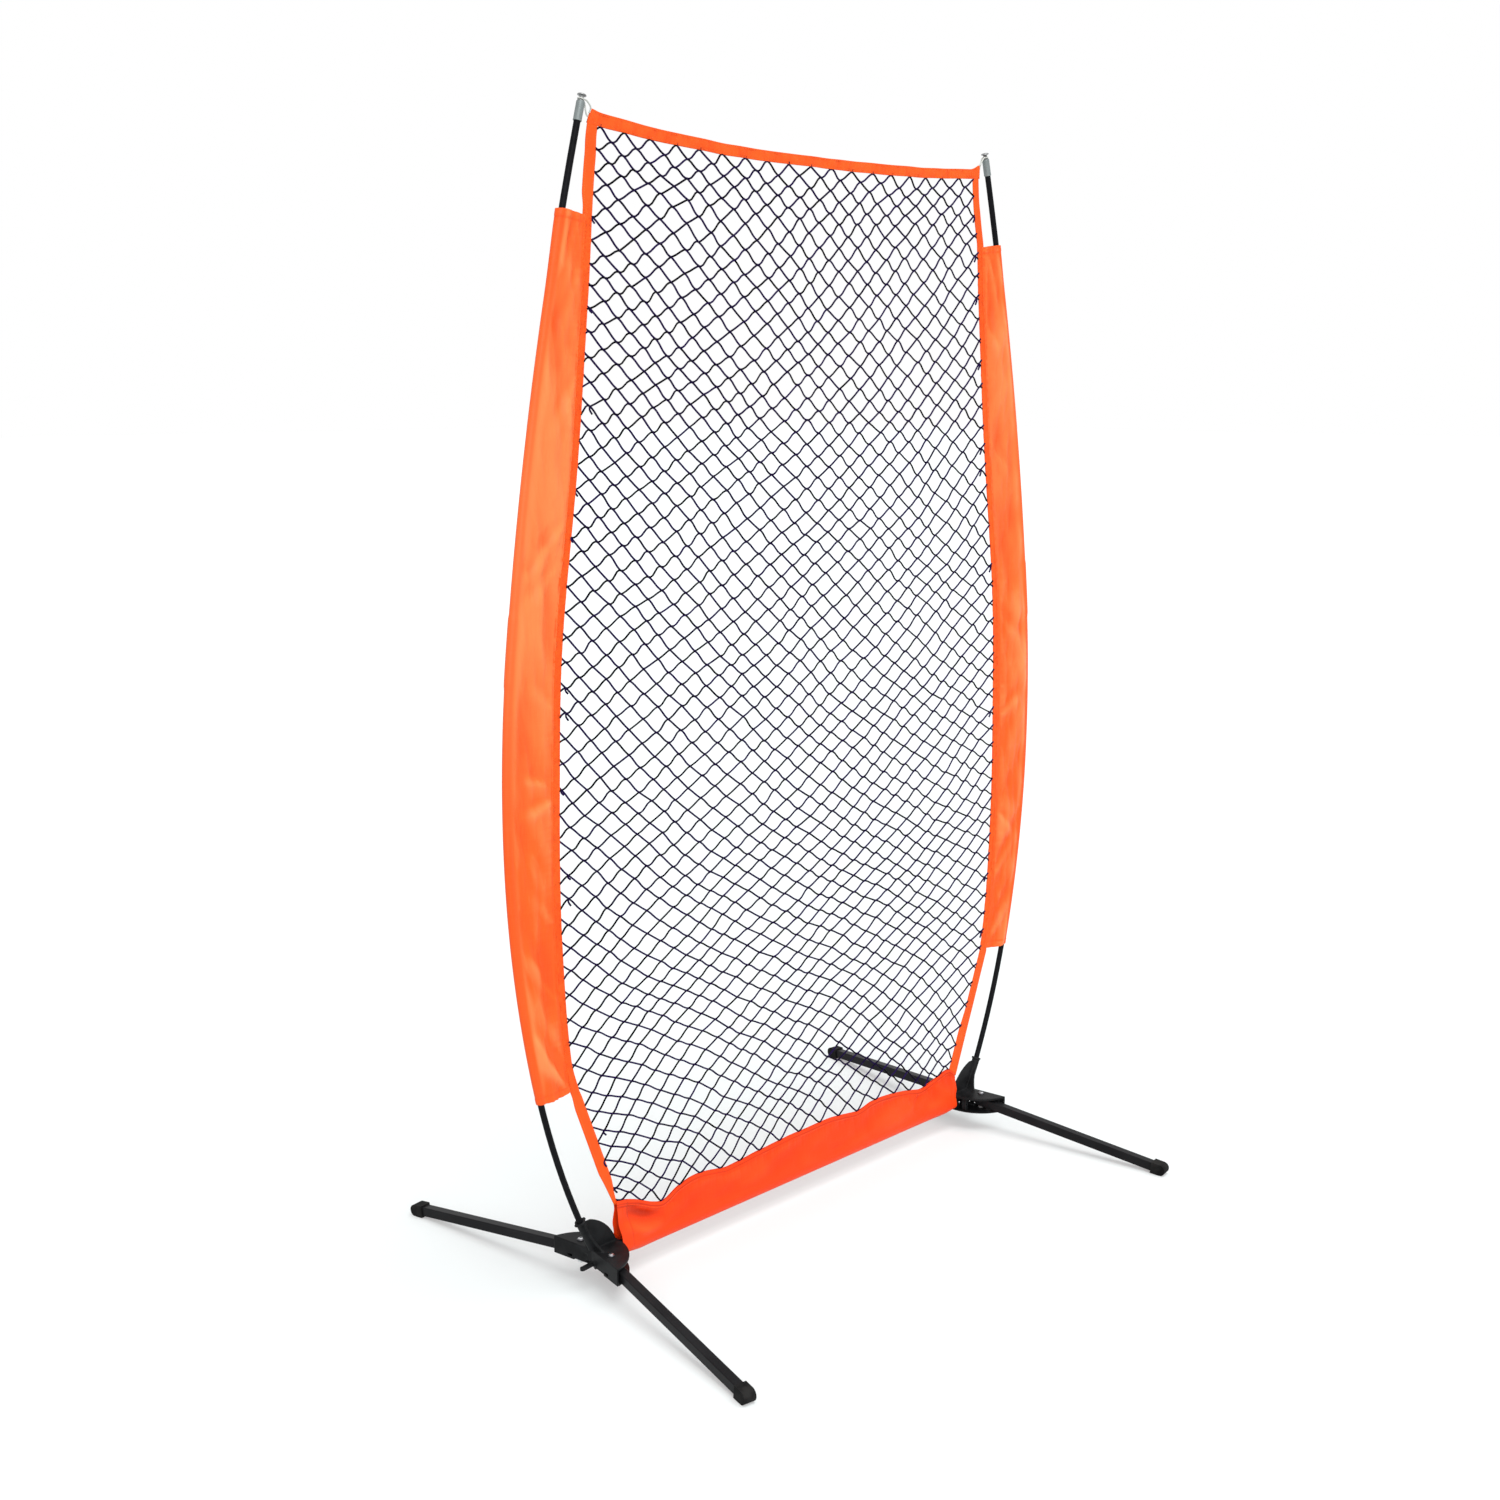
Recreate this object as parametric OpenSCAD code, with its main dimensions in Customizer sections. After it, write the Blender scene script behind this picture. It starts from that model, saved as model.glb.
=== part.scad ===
// Free-standing bow-frame net for ball practice: a low crossbar between two hubs, four legs
// that fold in flat, two bowed poles, and a netting held in sewn sleeves.
// Millimetres. X runs along the crossbar, Y from front to back, Z up from the ground.

/* [Crossbar and hubs] */
// Distance between the left and right leg bolts
hub_span = 1100; // [960:10:1400]
// Distance between the front and back leg bolts of one hub
bolt_gap = 89; // [80:1:110]
// Height of the hub's underside above the ground
hub_lift = 41; // [36:1:60]
// Thickness of the hub's top face
plate_t = 5; // [3:0.5:7]
// Thickness of the steel plate under the hub
base_t = 2.6; // [1.5:0.1:4]
// Radius of the hub's rounded inner edge, which the fin shares
fan_r = 95; // [88:1:110]
// Distance of that edge's centre outward from the bolts
fan_out = 42; // [34:1:48]
// Distance from an opened leg's centreline to the hub wall's outer face
wall_off = 17.75; // [16.5:0.25:24]
// Thickness of the hub's outer wall
wall_t = 4.6; // [3:0.1:6]
// Outside diameter of the crossbar
bar_d = 22.2; // [16:0.1:24]
// Wall of the crossbar
bar_wall = 1.5; // [1:0.1:3]
// How far the crossbar reaches into each hub
bar_in = 28; // [20:1:30]

/* [Legs] */
// Distance from a leg's bolt to the end of its cap
leg_len = 455; // [350:1:520]
// Side of the square leg tube
leg_w = 19; // [15:0.5:20]
// Wall of the leg tube
leg_wall = 1.5; // [1:0.1:3]
// Angle that an opened leg points outward
leg_splay = 9.5; // [0:0.5:14]
// Radius of the rounded inner end of a leg, about its bolt
knuckle_r = 12.6; // [11:0.1:12.8]
// Clearance above and below a leg in the hub's slot
leg_clear = 0.56; // [0.4:0.02:2]
// Diameter of the leg bolts
bolt_d = 8; // [6:0.5:8]
// Diameter of the leg bolts' heads
bolt_head_d = 14; // [12:0.5:18]
// Side of the rubber cap on a leg
cap_w = 24.5; // [22:0.5:30]
// Length of the rubber cap
cap_l = 32; // [26:1:45]
// How far the cap's round end is flattened where it stands
cap_flat = 0.6; // [0.3:0.1:1.2]

/* [Lock lever] */
// Length of the lever from its pin to the tip of its tab
lever_l = 47; // [36:1:60]
// Width of the lever's tab
lever_w = 10; // [7:0.5:11]
// Thickness of the lever
lever_t = 5; // [3:0.5:6]
// Angle that the resting lever leans to the front
lever_rest = 5; // [0:1:10]
// Angle that the lever swings to free the legs
lever_swing = 25; // [10:1:30]

/* [Poles] */
// Diameter of a pole
pole_d = 11.8; // [10:0.1:13]
// Bore of a pole, for the elastic cord inside it
pole_bore = 5.2; // [4:0.1:5.6]
// Diameter of the elastic cord inside a pole
shock_d = 4; // [2:0.5:4]
// Height of the socket's mouth above the hub's top face
socket_rise = 65.6; // [55:0.1:80]
// Distance of the socket's mouth outward from the bolts
socket_out = 36.8; // [30:0.1:45]
// Outside diameter of the socket at its mouth
socket_d = 17.6; // [15:0.1:22]
// Depth that a pole stands in its socket
socket_in = 50; // [35:1:52]
// Outward lean of a pole in its socket
pole_lean = 22.8; // [18:0.1:24]
// Radius of the pole's bend above the socket
bow_r1 = 1616; // [1400:1:2000]
// Turn of that bend
bow_a1 = 11.1; // [9:0.1:13]
// Radius of the bend below the widest point
bow_r2 = 2270; // [2000:5:2600]
// Turn of that bend
bow_a2 = 10.2; // [8:0.1:12]
// Radius of the bend above the widest point
bow_r3 = 2640; // [2300:5:3000]
// Turn of that bend
bow_a3 = 8.2; // [6:0.1:10]
// Radius of the upper section's bend
bow_r4 = 6250; // [5000:10:8000]
// Turn of that bend
bow_a4 = 8.1; // [6:0.1:9]
// Outside diameter of the ferrule that joins a pole's two sections
joint_d = 14.2; // [13.6:0.1:14.8]
// Length of that ferrule
joint_l = 110; // [60:5:160]
// Outside diameter of the tip ferrule
tip_d = 14.6; // [13.6:0.1:18]
// Length of the tip ferrule
tip_l = 33; // [31:1:50]
// Depth that the pole stands in the tip ferrule
tip_in = 18; // [12:1:20]
// Diameter of the button's head
button_d = 16; // [12:0.5:20]

/* [Fabric and netting] */
// Width of the sewn bands round the netting
band_w = 20; // [14:1:26]
// Thickness of the bands
band_t = 2.4; // [1:0.1:4]
// Height of the side sleeves' lower end above the ground
sleeve_low = 398; // [300:1:600]
// Distance of the side sleeves' upper end below the netting's top corner
sleeve_drop = 137; // [60:1:300]
// Thickness of the fabric with its turned hems
cloth_t = 1; // [0.6:0.1:1.4]
// Looseness of a side sleeve round the pole's ferrule
sleeve_ease = 0.4; // [0.3:0.1:2]
// Extra width of the side sleeve at its open upper end
sleeve_flare = 5; // [0:0.5:12]
// Gap from the pole to the netting at the lower end of the side sleeve
gap_low = 82; // [70:1:95]
// The same gap at the height of the knee
gap_knee = 103; // [90:1:112]
// The same gap at the widest point
gap_belly = 115; // [95:1:125]
// The same gap at the middle
gap_mid = 110; // [95:1:120]
// The same gap at the upper half
gap_chest = 108; // [90:1:118]
// The same gap at the shoulder
gap_shoulder = 84; // [70:1:95]
// The same gap at the top corner
gap_top = 47; // [40:1:60]
// Distance of the top corner below the upper end of the pole
corner_drop = 0; // [0:1:40]
// Sag of the top band in the middle
top_sag = 27; // [0:1:60]
// Height of the seam that closes the bottom sleeve
hem_z = 140; // [115:1:200]
// Distance from the end of the bottom sleeve to the leg bolts' line
hem_end = 62; // [60:1:90]
// Distance from the netting's lower corner to the leg bolts' line
foot_gap = 56; // [46:1:80]
// Looseness of the bottom sleeve round the crossbar
hem_ease = 0.5; // [0.3:0.1:3]
// Half the width of one mesh of the netting
mesh_w = 31; // [24:1:44]
// Half the height of one mesh of the netting
mesh_h = 21; // [16:1:32]
// Thickness of the netting's twine
twine_d = 2; // [1.2:0.1:3]
// Diameter of the elastic cord at each top corner
loop_d = 2.4; // [1.6:0.1:3]

/* [Hidden] */
$fn = 64;
fit = 0.05;             // running or sliding clearance per side
rest = 0.3;             // clearance where two pieces only lie close
bolt_x = hub_span / 2;
bolt_y = bolt_gap / 2;
fan_x = bolt_x + fan_out;
wall_x = bolt_x + wall_off / cos(leg_splay) - bolt_y * tan(leg_splay);
far = 400;

// Leg: it slopes from its bolt down to a cap that rests on the ground, and the hub's slot is
// as high as the sloping leg needs between its inner end and the edge of the steel plate
cap_r = cap_w / 2;
cap_s = leg_len - cap_r;
gap_lo = hub_lift + base_t;
slot_reach = fan_out * sin(leg_splay) - bolt_y * cos(leg_splay)
    + sqrt(pow(fan_r, 2) - pow(fan_out * cos(leg_splay) + bolt_y * sin(leg_splay) - leg_w / 2, 2));
function pivot_at(a) = gap_lo + leg_clear + leg_w / 2 / cos(a) + slot_reach * tan(a);
function tilt_of(n) = n == 0 ? 6 : asin((pivot_at(tilt_of(n - 1)) - (cap_r - cap_flat)) / cap_s);
leg_tilt = tilt_of(9);
pivot_z = pivot_at(leg_tilt);
gap_hi = pivot_z + leg_w / 2 / cos(leg_tilt) + knuckle_r * tan(leg_tilt) + leg_clear;
gap_mid_z = (gap_lo + gap_hi) / 2;
hub_top = gap_hi + plate_t;
hub_h = hub_top - hub_lift;
boss_r = bolt_d / 2 + 2;
stop_in = bolt_y - leg_w / 2 - rest;
screw_x = bolt_x - 38;
screw_y = 25;
screw_d = 4;

// Lock lever
pin_x = bolt_x - 7;
pin_d = 6;
cam_tip = 2.6;
cam_r = norm([bolt_x - pin_x, bolt_y]) - knuckle_r - rest - cam_tip;
lever_z = gap_lo + 0.4;

// Pole: a straight foot in the socket, then four bends, each tangent to the next
mouth = [bolt_x + socket_out, hub_top + socket_rise];
pole_r = pole_d / 2;
knot_r = pole_r - 2.05;
bow_r = [bow_r1, bow_r2, bow_r3, bow_r4];
bow_a = [bow_a1, bow_a2, bow_a3, bow_a4];
function lean(i) = i == 0 ? pole_lean : lean(i - 1) - bow_a[i - 1];
function out(a) = [cos(a), -sin(a)];
function bend_c(i) = bend_p(i) - bow_r[i] * out(lean(i));
function bend_p(i) = i == 0 ? mouth : bend_c(i - 1) + bow_r[i - 1] * out(lean(i));
bend_at = [for (i = [0:4]) bend_p(i)];
bend_mid = [for (i = [0:3]) bend_c(i)];
function bend_of(z) = z < bend_at[1][1] ? 0 : z < bend_at[2][1] ? 1 : z < bend_at[3][1] ? 2 : 3;
function bow_on(i, z) = bend_mid[i][0] + sqrt(pow(bow_r[i], 2) - pow(z - bend_mid[i][1], 2));
function bow_x(z) = bow_on(bend_of(z), z);
pole_top = bend_at[4];
tip_a = lean(4);

// Side edge of the netting: a smooth curve through seven gaps from the pole, then a straight
// run down to the lower corner
corner_z = pole_top[1] - corner_drop;
sleeve_high = corner_z - sleeve_drop;
side_gap = [gap_low, gap_knee, gap_belly, gap_mid, gap_chest, gap_shoulder, gap_top];
side_n = len(side_gap) - 1;
function at_gap(i) = side_gap[min(side_n, max(0, i))];
function smooth(a, b, c, d, t) =
    b + t * ((c - a) / 2 + t * ((2 * a - 5 * b + 4 * c - d) / 2 + t * (3 * b - a - 3 * c + d) / 2));
function gap_in(i, t) = smooth(at_gap(i - 1), at_gap(i), at_gap(i + 1), at_gap(i + 2), t);
function gap_of(u) = gap_in(min(side_n - 1, floor(u)), u - min(side_n - 1, floor(u)));
function gap_at(z) = gap_of(side_n * (z - sleeve_low) / (corner_z - sleeve_low));
foot_x = bolt_x - foot_gap;
knee_x = bow_x(sleeve_low) - gap_low;
function edge_x(z) = z >= sleeve_low ? bow_x(z) - gap_at(z)
    : foot_x + (knee_x - foot_x) * (z - hem_z) / (sleeve_low - hem_z);
top_x = edge_x(corner_z);
function top_z(x) = corner_z - top_sag * (1 - pow(x / top_x, 2));

// Outlines of the sewn pieces share their points, so that their edges meet
edge_n = 12;
low_n = 4;
function between(a, b, n) = [for (i = [0:n]) a + (b - a) * i / n];
low_zs = between(hem_z, sleeve_low, low_n);
mid_zs = between(sleeve_low, sleeve_high, 2 * edge_n);
high_zs = between(sleeve_high, corner_z, low_n);
side_zs = concat(low_zs, [for (i = [1:2 * edge_n]) mid_zs[i]], [for (i = [1:low_n]) high_zs[i]]);
function band_x(z) = edge_x(z) + band_w;
ease_r = joint_d / 2 + sleeve_ease;
sleeve_r = ease_r + cloth_t;
flare_h = 150;
function flare(z) = sleeve_flare * max(0, z - (sleeve_high - flare_h)) / flare_h;
function backwards(list) = [for (i = [len(list) - 1:-1:0]) list[i]];

// Bottom sleeve: a teardrop round the crossbar, closed by a flat seam
hem_r = bar_d / 2 + hem_ease + cloth_t;
seam_h = 12;
seam_t = 3;
hem_x = bolt_x - hem_end;

// ---- placing: every module below draws the right-hand, back copy ----
module left() mirror([1, 0, 0]) children();
module front() mirror([0, 1, 0]) children();
module both_bolts() for (s = [-1, 1]) translate([bolt_x, s * bolt_y, 0]) children();
// A flat outline in X and Z, given a thickness in Y
module upright(t) rotate([90, 0, 0]) linear_extrude(t, center = true) children();
// A vertical rod between two heights
module rod(r, z0, z1) translate([0, 0, z0]) cylinder(r = r, h = z1 - z0);
// Along an opened leg: +X runs from the bolt to the cap
module along_leg() translate([bolt_x, bolt_y, 0]) rotate(90 - leg_splay) children();
module down_leg() along_leg() translate([0, 0, pivot_z]) rotate([0, leg_tilt, 0]) children();
// Along the socket: +Z runs up the pole's foot, with the origin at the mouth
module at_mouth() translate([mouth[0], 0, mouth[1]]) rotate([0, pole_lean, 0]) children();
// Along the tip: +Z runs up from the end of the pole
module at_tip() translate([pole_top[0], 0, pole_top[1]]) rotate([0, tip_a, 0]) children();

// ---- hubs ----
// The region inside the hub's V-shaped outer wall, moved in by a distance
module v_region(inset) {
  x0 = wall_x - inset / cos(leg_splay);
  x1 = x0 + far * tan(leg_splay);
  polygon([[x0, 0], [x1, far], [x0 - far, far], [x0 - far, -far], [x1, -far]]);
}
module fan(z0, z1, inset) intersection() {
  translate([fan_x, 0, 0]) rod(fan_r, z0, z1);
  translate([0, 0, z0]) linear_extrude(z1 - z0) v_region(inset);
}
window_w = 12;
window_h = 5;
window_y = 54;
relief_y = 44;
relief_h = 3;
function slot_y(a) = ((wall_x - pin_x) * tan(a) + lever_w / 2 / cos(a)) / (1 - tan(leg_splay) * tan(a));
slot_back = slot_y(lever_swing - lever_rest) + 0.6;
slot_front = slot_y(lever_rest) + 0.6;
bump_r = 5.5;
recess_y = [10, 19];
recess_z = hub_top - 18.5;
module hub_wall() difference() {
  fan(hub_lift, hub_top, 0);
  translate([0, 0, hub_lift - 1]) linear_extrude(hub_h + 2) v_region(wall_t);
  for (s = [-1, 1])
    translate([wall_x - 20, s * window_y - window_w / 2, gap_lo + 2]) cube([60, window_w, window_h]);
  translate([wall_x - 20, -relief_y, hub_lift - 1]) cube([40, 2 * relief_y, relief_h + 1]);
  translate([wall_x - 20, -slot_front, hub_lift - 1])
    cube([40, slot_front + slot_back, lever_z + lever_t + 1.1 - hub_lift + 1]);
  difference() {
    translate([wall_x - 20, recess_y[0], recess_z]) cube([60, recess_y[1] - recess_y[0], 6]);
    translate([0, 0, recess_z - 1]) linear_extrude(8) v_region(1);
  }
}
module wall_bump() difference() {
  intersection() {
    translate([wall_x - 20, -slot_front - bump_r, hub_lift + bump_r])
      rotate([0, 90, 0]) cylinder(r = bump_r, h = 40);
    fan(hub_lift, hub_top, -1);
  }
  translate([0, 0, hub_lift - 1]) linear_extrude(hub_h) v_region(wall_t);
}
// Pads that the legs meet when they are fully open and fully folded
module leg_stops() for (s = [0, 1]) mirror([0, s, 0]) {
  along_leg() translate([28, -wall_off + wall_t - 0.5, gap_lo])
    cube([12, wall_off - wall_t + 0.5 - leg_w / 2 - rest, gap_hi - gap_lo + 1]);
  translate([screw_x - 4, screw_y, gap_lo]) cube([8, stop_in - screw_y, gap_hi - gap_lo + 1]);
  translate([screw_x, screw_y, 0]) rod(5, gap_lo, gap_hi + 1);
}
block_w = bar_d + 2 * 3.4;
bar_end = fan_x - fan_r + 2 + bar_in;
module bar_block() translate([fan_x - fan_r + 2, -block_w / 2, gap_lo])
  cube([bar_in + 2, block_w, gap_hi - gap_lo + 1]);
// The leaning socket, its collar with two lugs, the leaning web and the round-edged fin
collar_h = 4;
collar_r = socket_d / 2 + 1.4;
web_t = 4;
web_foot = 24.7;
web_x = bolt_x + 1.5;
web_lean = atan2(mouth[0] - web_x, socket_rise);
web_l = socket_rise / cos(web_lean);
fin_t = 3.6;
web_r = 120;
module socket_shell() {
  intersection() {
    at_mouth() translate([0, 0, -90]) cylinder(r1 = socket_d / 2 - 3.4, r2 = socket_d / 2, h = 90);
    above_plate();
  }
  at_mouth() translate([0, 0, -collar_h]) cylinder(r = collar_r, h = collar_h);
  at_mouth() for (s = [-1, 1])
    translate([s * (collar_r + 0.6) - 1.8, -2.6, -collar_h]) cube([3.6, 5.2, collar_h]);
}
module above_plate() translate([bolt_x - far / 2, -far / 2, hub_top - 1]) cube([far, far, far]);
web_edge = [[web_foot, 0], [socket_d / 2 - 1, web_l - collar_h]];
web_side = web_edge[1] - web_edge[0];
web_c = (web_edge[0] + web_edge[1]) / 2
    + sqrt(pow(web_r, 2) - pow(norm(web_side) / 2, 2)) * [web_side[1], -web_side[0]] / norm(web_side);
module socket_web() intersection() {
  translate([web_x, 0, hub_top]) rotate([0, web_lean, 0]) rotate([90, 0, 90])
    linear_extrude(web_t, center = true) difference() {
      polygon([[-web_foot, -6], [web_foot, -6], web_edge[0], web_edge[1],
               [-web_edge[1][0], web_edge[1][1]], [-web_foot, 0]]);
      for (s = [0, 1]) mirror([s, 0]) translate(web_c) circle(r = web_r, $fn = 256);
    }
  above_plate();
}
module socket_fin() upright(fin_t) intersection() {
  translate([fan_x, hub_top - fan_r * 0.3]) circle(r = fan_r);
  polygon([[fan_x - fan_r, hub_top - 1], [mouth[0] - (socket_rise + 1) * tan(pole_lean), hub_top - 1],
           [mouth[0] - 4 * tan(pole_lean), hub_top + socket_rise - 4],
           [fan_x - fan_r, hub_top + socket_rise - 4]]);
}
module hub() color([0.13, 0.13, 0.14]) difference() {
  union() {
    fan(gap_hi, hub_top, 0);
    hub_wall();
    wall_bump();
    leg_stops();
    intersection() {
      bar_block();
      fan(gap_lo, hub_top, 0);
    }
    socket_shell();
    socket_web();
    socket_fin();
  }
  at_mouth() translate([0, 0, -socket_in]) cylinder(r = pole_r + fit, h = socket_in + 1);
  at_mouth() translate([0, 0, -socket_in - 2 * knot_r - 1]) cylinder(r = knot_r + rest, h = socket_in);
  translate([0, 0, gap_mid_z]) rotate([0, 90, 0]) cylinder(r = bar_d / 2 + fit, h = bar_end);
  translate([rivet_x, 0, gap_mid_z]) rotate([90, 0, 0])
    cylinder(r = rivet_r + fit, h = far, center = true);
  both_bolts() rod(bolt_d / 2 + fit, gap_hi - 1, hub_top + 1);
  translate([pin_x, 0, 0]) rod(pin_d / 2 + fit, gap_hi - 1, hub_top - 2);
  for (s = [-1, 1]) translate([screw_x, s * screw_y, 0]) rod(screw_d / 2 + fit, gap_lo - 1, gap_lo + 16);
}
module hub_base() color([0.12, 0.12, 0.13]) difference() {
  fan(hub_lift, gap_lo, wall_t + 0.2);
  both_bolts() rod(bolt_d / 2 + fit, hub_lift - 1, gap_lo + 1);
  translate([pin_x, 0, 0]) rod(pin_d / 2 + fit, hub_lift - 1, gap_lo + 1);
  for (s = [-1, 1]) translate([screw_x, s * screw_y, 0]) rod(screw_d / 2 + fit, hub_lift - 1, gap_lo + 1);
}
module base_screws() color([0.3, 0.3, 0.32]) for (s = [-1, 1]) translate([screw_x, s * screw_y, 0]) {
  rod(screw_d / 2, hub_lift - 1, gap_lo + 14);
  rod(screw_d, hub_lift - 2.4, hub_lift);
}

// ---- crossbar ----
rivet_r = 2.5;
rivet_x = bolt_x - 38;
module crossbar() color([0.12, 0.12, 0.13]) translate([0, 0, gap_mid_z]) rotate([0, 90, 0]) difference() {
  cylinder(d = bar_d, h = 2 * bar_end - 1, center = true);
  cylinder(d = bar_d - 2 * bar_wall, h = 2 * bar_end, center = true);
  for (s = [-1, 1]) translate([0, 0, s * rivet_x]) rotate([90, 0, 0])
    cylinder(r = rivet_r + fit, h = far, center = true);
}
module crossbar_rivets() color([0.3, 0.3, 0.32]) for (s = [-1, 1])
  translate([s * rivet_x, 0, gap_mid_z]) rotate([90, 0, 0]) {
    cylinder(r = rivet_r, h = block_w + 2, center = true);
    for (e = [0, 1]) mirror([0, 0, e]) translate([0, 0, block_w / 2]) cylinder(r1 = 4.5, r2 = 3, h = 1.6);
  }

// ---- leg pivots ----
washer_t = 1.6;
nut_h = 6.8;
head_h = 4.2;
module leg_bolts() color([0.8, 0.8, 0.82]) both_bolts() {
  rod(bolt_d / 2, hub_lift - washer_t - nut_h - 2, hub_top + 1);
  intersection() {
    rod(bolt_head_d / 2, hub_top, hub_top + head_h);
    translate([0, 0, hub_top + head_h - bolt_head_d * 0.75]) sphere(r = bolt_head_d * 0.75);
  }
}
module leg_washers() color([0.7, 0.7, 0.72]) both_bolts() difference() {
  rod(bolt_d, hub_lift - washer_t, hub_lift);
  rod(bolt_d / 2 + fit, 0, hub_top);
}
module leg_nuts() color([0.7, 0.7, 0.72]) both_bolts() difference() {
  translate([0, 0, hub_lift - washer_t - nut_h]) cylinder(d = 1.88 * bolt_d, h = nut_h, $fn = 6);
  rod(bolt_d / 2 + 0.02, 0, hub_top);
}

// ---- legs ----
corner_r = 2;
module round_square(w, r) {
  square([w - 2 * r, w], center = true);
  square([w, w - 2 * r], center = true);
  for (x = [-1, 1], y = [-1, 1]) translate([x * (w / 2 - r), y * (w / 2 - r)]) circle(r = r);
}
// What is cut off an inner leg end to round it about its bolt, with the lock's notch
module knuckle_cut() {
  difference() {
    along_leg() translate([-60, -30, 0]) cube([60, 60, 100]);
    translate([bolt_x, bolt_y, 0]) rod(knuckle_r, -1, 101);
  }
  translate([bolt_x, bolt_y, 0]) rotate(atan2(cam_r - bolt_y, pin_x - bolt_x))
    translate([knuckle_r + 1.6, 0, 0]) rod(cam_tip + 0.2, 0, 100);
}
tube_s = cap_s + cap_r / 3;
module leg() color([0.13, 0.13, 0.14]) difference() {
  down_leg() translate([-20, 0, 0]) rotate([90, 0, 90]) linear_extrude(tube_s + 20) difference() {
    round_square(leg_w, corner_r);
    square(leg_w - 2 * leg_wall, center = true);
  }
  knuckle_cut();
  translate([bolt_x, bolt_y, 0]) rod(boss_r + fit, 0, 100);
}
module pivot_plug() color([0.25, 0.25, 0.26]) difference() {
  union() {
    translate([bolt_x, bolt_y, 0]) rod(boss_r, gap_lo + 0.1, gap_hi - 0.1);
    difference() {
      down_leg() translate([-20, 0, 0]) rotate([90, 0, 90])
        linear_extrude(44) square(leg_w - 2 * leg_wall - 0.2, center = true);
      knuckle_cut();
    }
  }
  translate([bolt_x, bolt_y, 0]) rod(bolt_d / 2 + fit, 0, 100);
}
module cap() color([0.08, 0.08, 0.08]) difference() {
  down_leg() {
    translate([leg_len - cap_l, -cap_r, -cap_r]) cube([cap_l - cap_r, cap_w, cap_w]);
    translate([cap_s, 0, 0]) rotate([90, 0, 0]) cylinder(r = cap_r, h = cap_w, center = true);
  }
  down_leg() translate([-20, 0, 0]) rotate([90, 0, 90])
    linear_extrude(tube_s + 20) round_square(leg_w, corner_r);
  translate([0, 0, -20]) cube([4 * far, 4 * far, 40], center = true);
}

// ---- lock lever ----
module lock_lever() color([0.15, 0.15, 0.16]) translate([pin_x, 0, 0]) difference() {
  union() {
    rod(7, lever_z + lever_t - 1, lever_z + lever_t + 3);
    translate([0, 0, lever_z]) linear_extrude(lever_t) {
      circle(r = 7.6);
      rotate(-lever_rest) {
        translate([0, 0.2 - lever_w / 2]) square([lever_l - lever_w / 2, lever_w - 0.4]);
        translate([lever_l - lever_w / 2, 0]) circle(r = lever_w / 2);
      }
      square([2 * cam_tip - 0.4, 2 * cam_r], center = true);
      for (s = [-1, 1]) translate([0, s * cam_r]) circle(r = cam_tip);
    }
  }
  rod(pin_d / 2 + fit, 0, hub_top);
}
module lever_pin() color([0.5, 0.5, 0.52]) translate([pin_x, 0, 0]) {
  rod(pin_d / 2, hub_lift, hub_top - 2.5);
  rod(pin_d / 2 + 2, lever_z + lever_t + 3.3, gap_hi - 0.2);
}

// ---- poles ----
// A round section carried along one bend, between two angles from its lower end
module bend(i, r, a0, a1) translate([bend_mid[i][0], 0, bend_mid[i][1]]) rotate([90, 0, 0])
  rotate(a0 - lean(i)) rotate_extrude(angle = a1 - a0, $fn = 1440)
    translate([bow_r[i], 0]) circle(r = r, $fn = 32);
function turn_of(i, l) = l / bow_r[i] * 180 / PI;
// Every second bend is a hair thinner and runs on into its neighbours, so that they join
hair = 0.03;
function slim(i) = i % 2 == 0 ? 0 : hair;
function lap(i) = i % 2 == 0 ? 0 : turn_of(i, 0.6);
module bend_tube(i, r, bore, a0, a1) difference() {
  bend(i, r - slim(i), a0, a1);
  bend(i, bore + slim(i), a0 - 0.01, a1 + 0.01);
}
module lower_pole() color([0.1, 0.1, 0.11]) {
  at_mouth() difference() {
    translate([0, 0, -socket_in]) cylinder(r = pole_r - hair, h = socket_in + 0.6);
    translate([0, 0, -socket_in - 1]) cylinder(r = pole_bore / 2 + hair, h = socket_in + 2);
  }
  bend_tube(0, pole_r, pole_bore / 2, 0, bow_a[0]);
  bend_tube(1, pole_r, pole_bore / 2, -lap(1), bow_a[1] + lap(1));
  bend_tube(2, pole_r, pole_bore / 2, 0, bow_a[2]);
}
module upper_pole() color([0.1, 0.1, 0.11]) {
  bend_tube(3, pole_r, pole_bore / 2, 0, bow_a[3] + lap(3));
  at_tip() difference() {
    cylinder(r = pole_r, h = tip_in);
    translate([0, 0, -1]) cylinder(d = pole_bore, h = tip_in + 2);
  }
}
module pole_joint() color([0.6, 0.6, 0.62]) {
  bend_tube(2, joint_d / 2, pole_r + fit, bow_a[2] - turn_of(2, joint_l / 2), bow_a[2]);
  bend_tube(3, joint_d / 2, pole_r + fit, -lap(3), turn_of(3, joint_l / 2));
}
module shock_cord() color([0.85, 0.85, 0.85]) {
  at_mouth() translate([0, 0, -socket_in - 3]) cylinder(r = shock_d / 2 - hair, h = socket_in + 3.6);
  for (i = [0:3]) bend(i, shock_d / 2 - slim(i), -lap(i), bow_a[i] + lap(i));
  at_tip() cylinder(d = shock_d, h = tip_in + 2);
  at_mouth() translate([0, 0, -socket_in - knot_r - 0.3]) sphere(r = knot_r);
  at_tip() translate([0, 0, tip_in + knot_r + 0.2]) sphere(r = knot_r);
}
stem_l = 5;
neck_h = 8;
head_t = 3.4;
module tip_ferrule() color([0.62, 0.64, 0.65]) at_tip() difference() {
  cylinder(d = tip_d, h = tip_l);
  translate([0, 0, -1]) cylinder(r = pole_r + fit, h = tip_l + 2);
}
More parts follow.
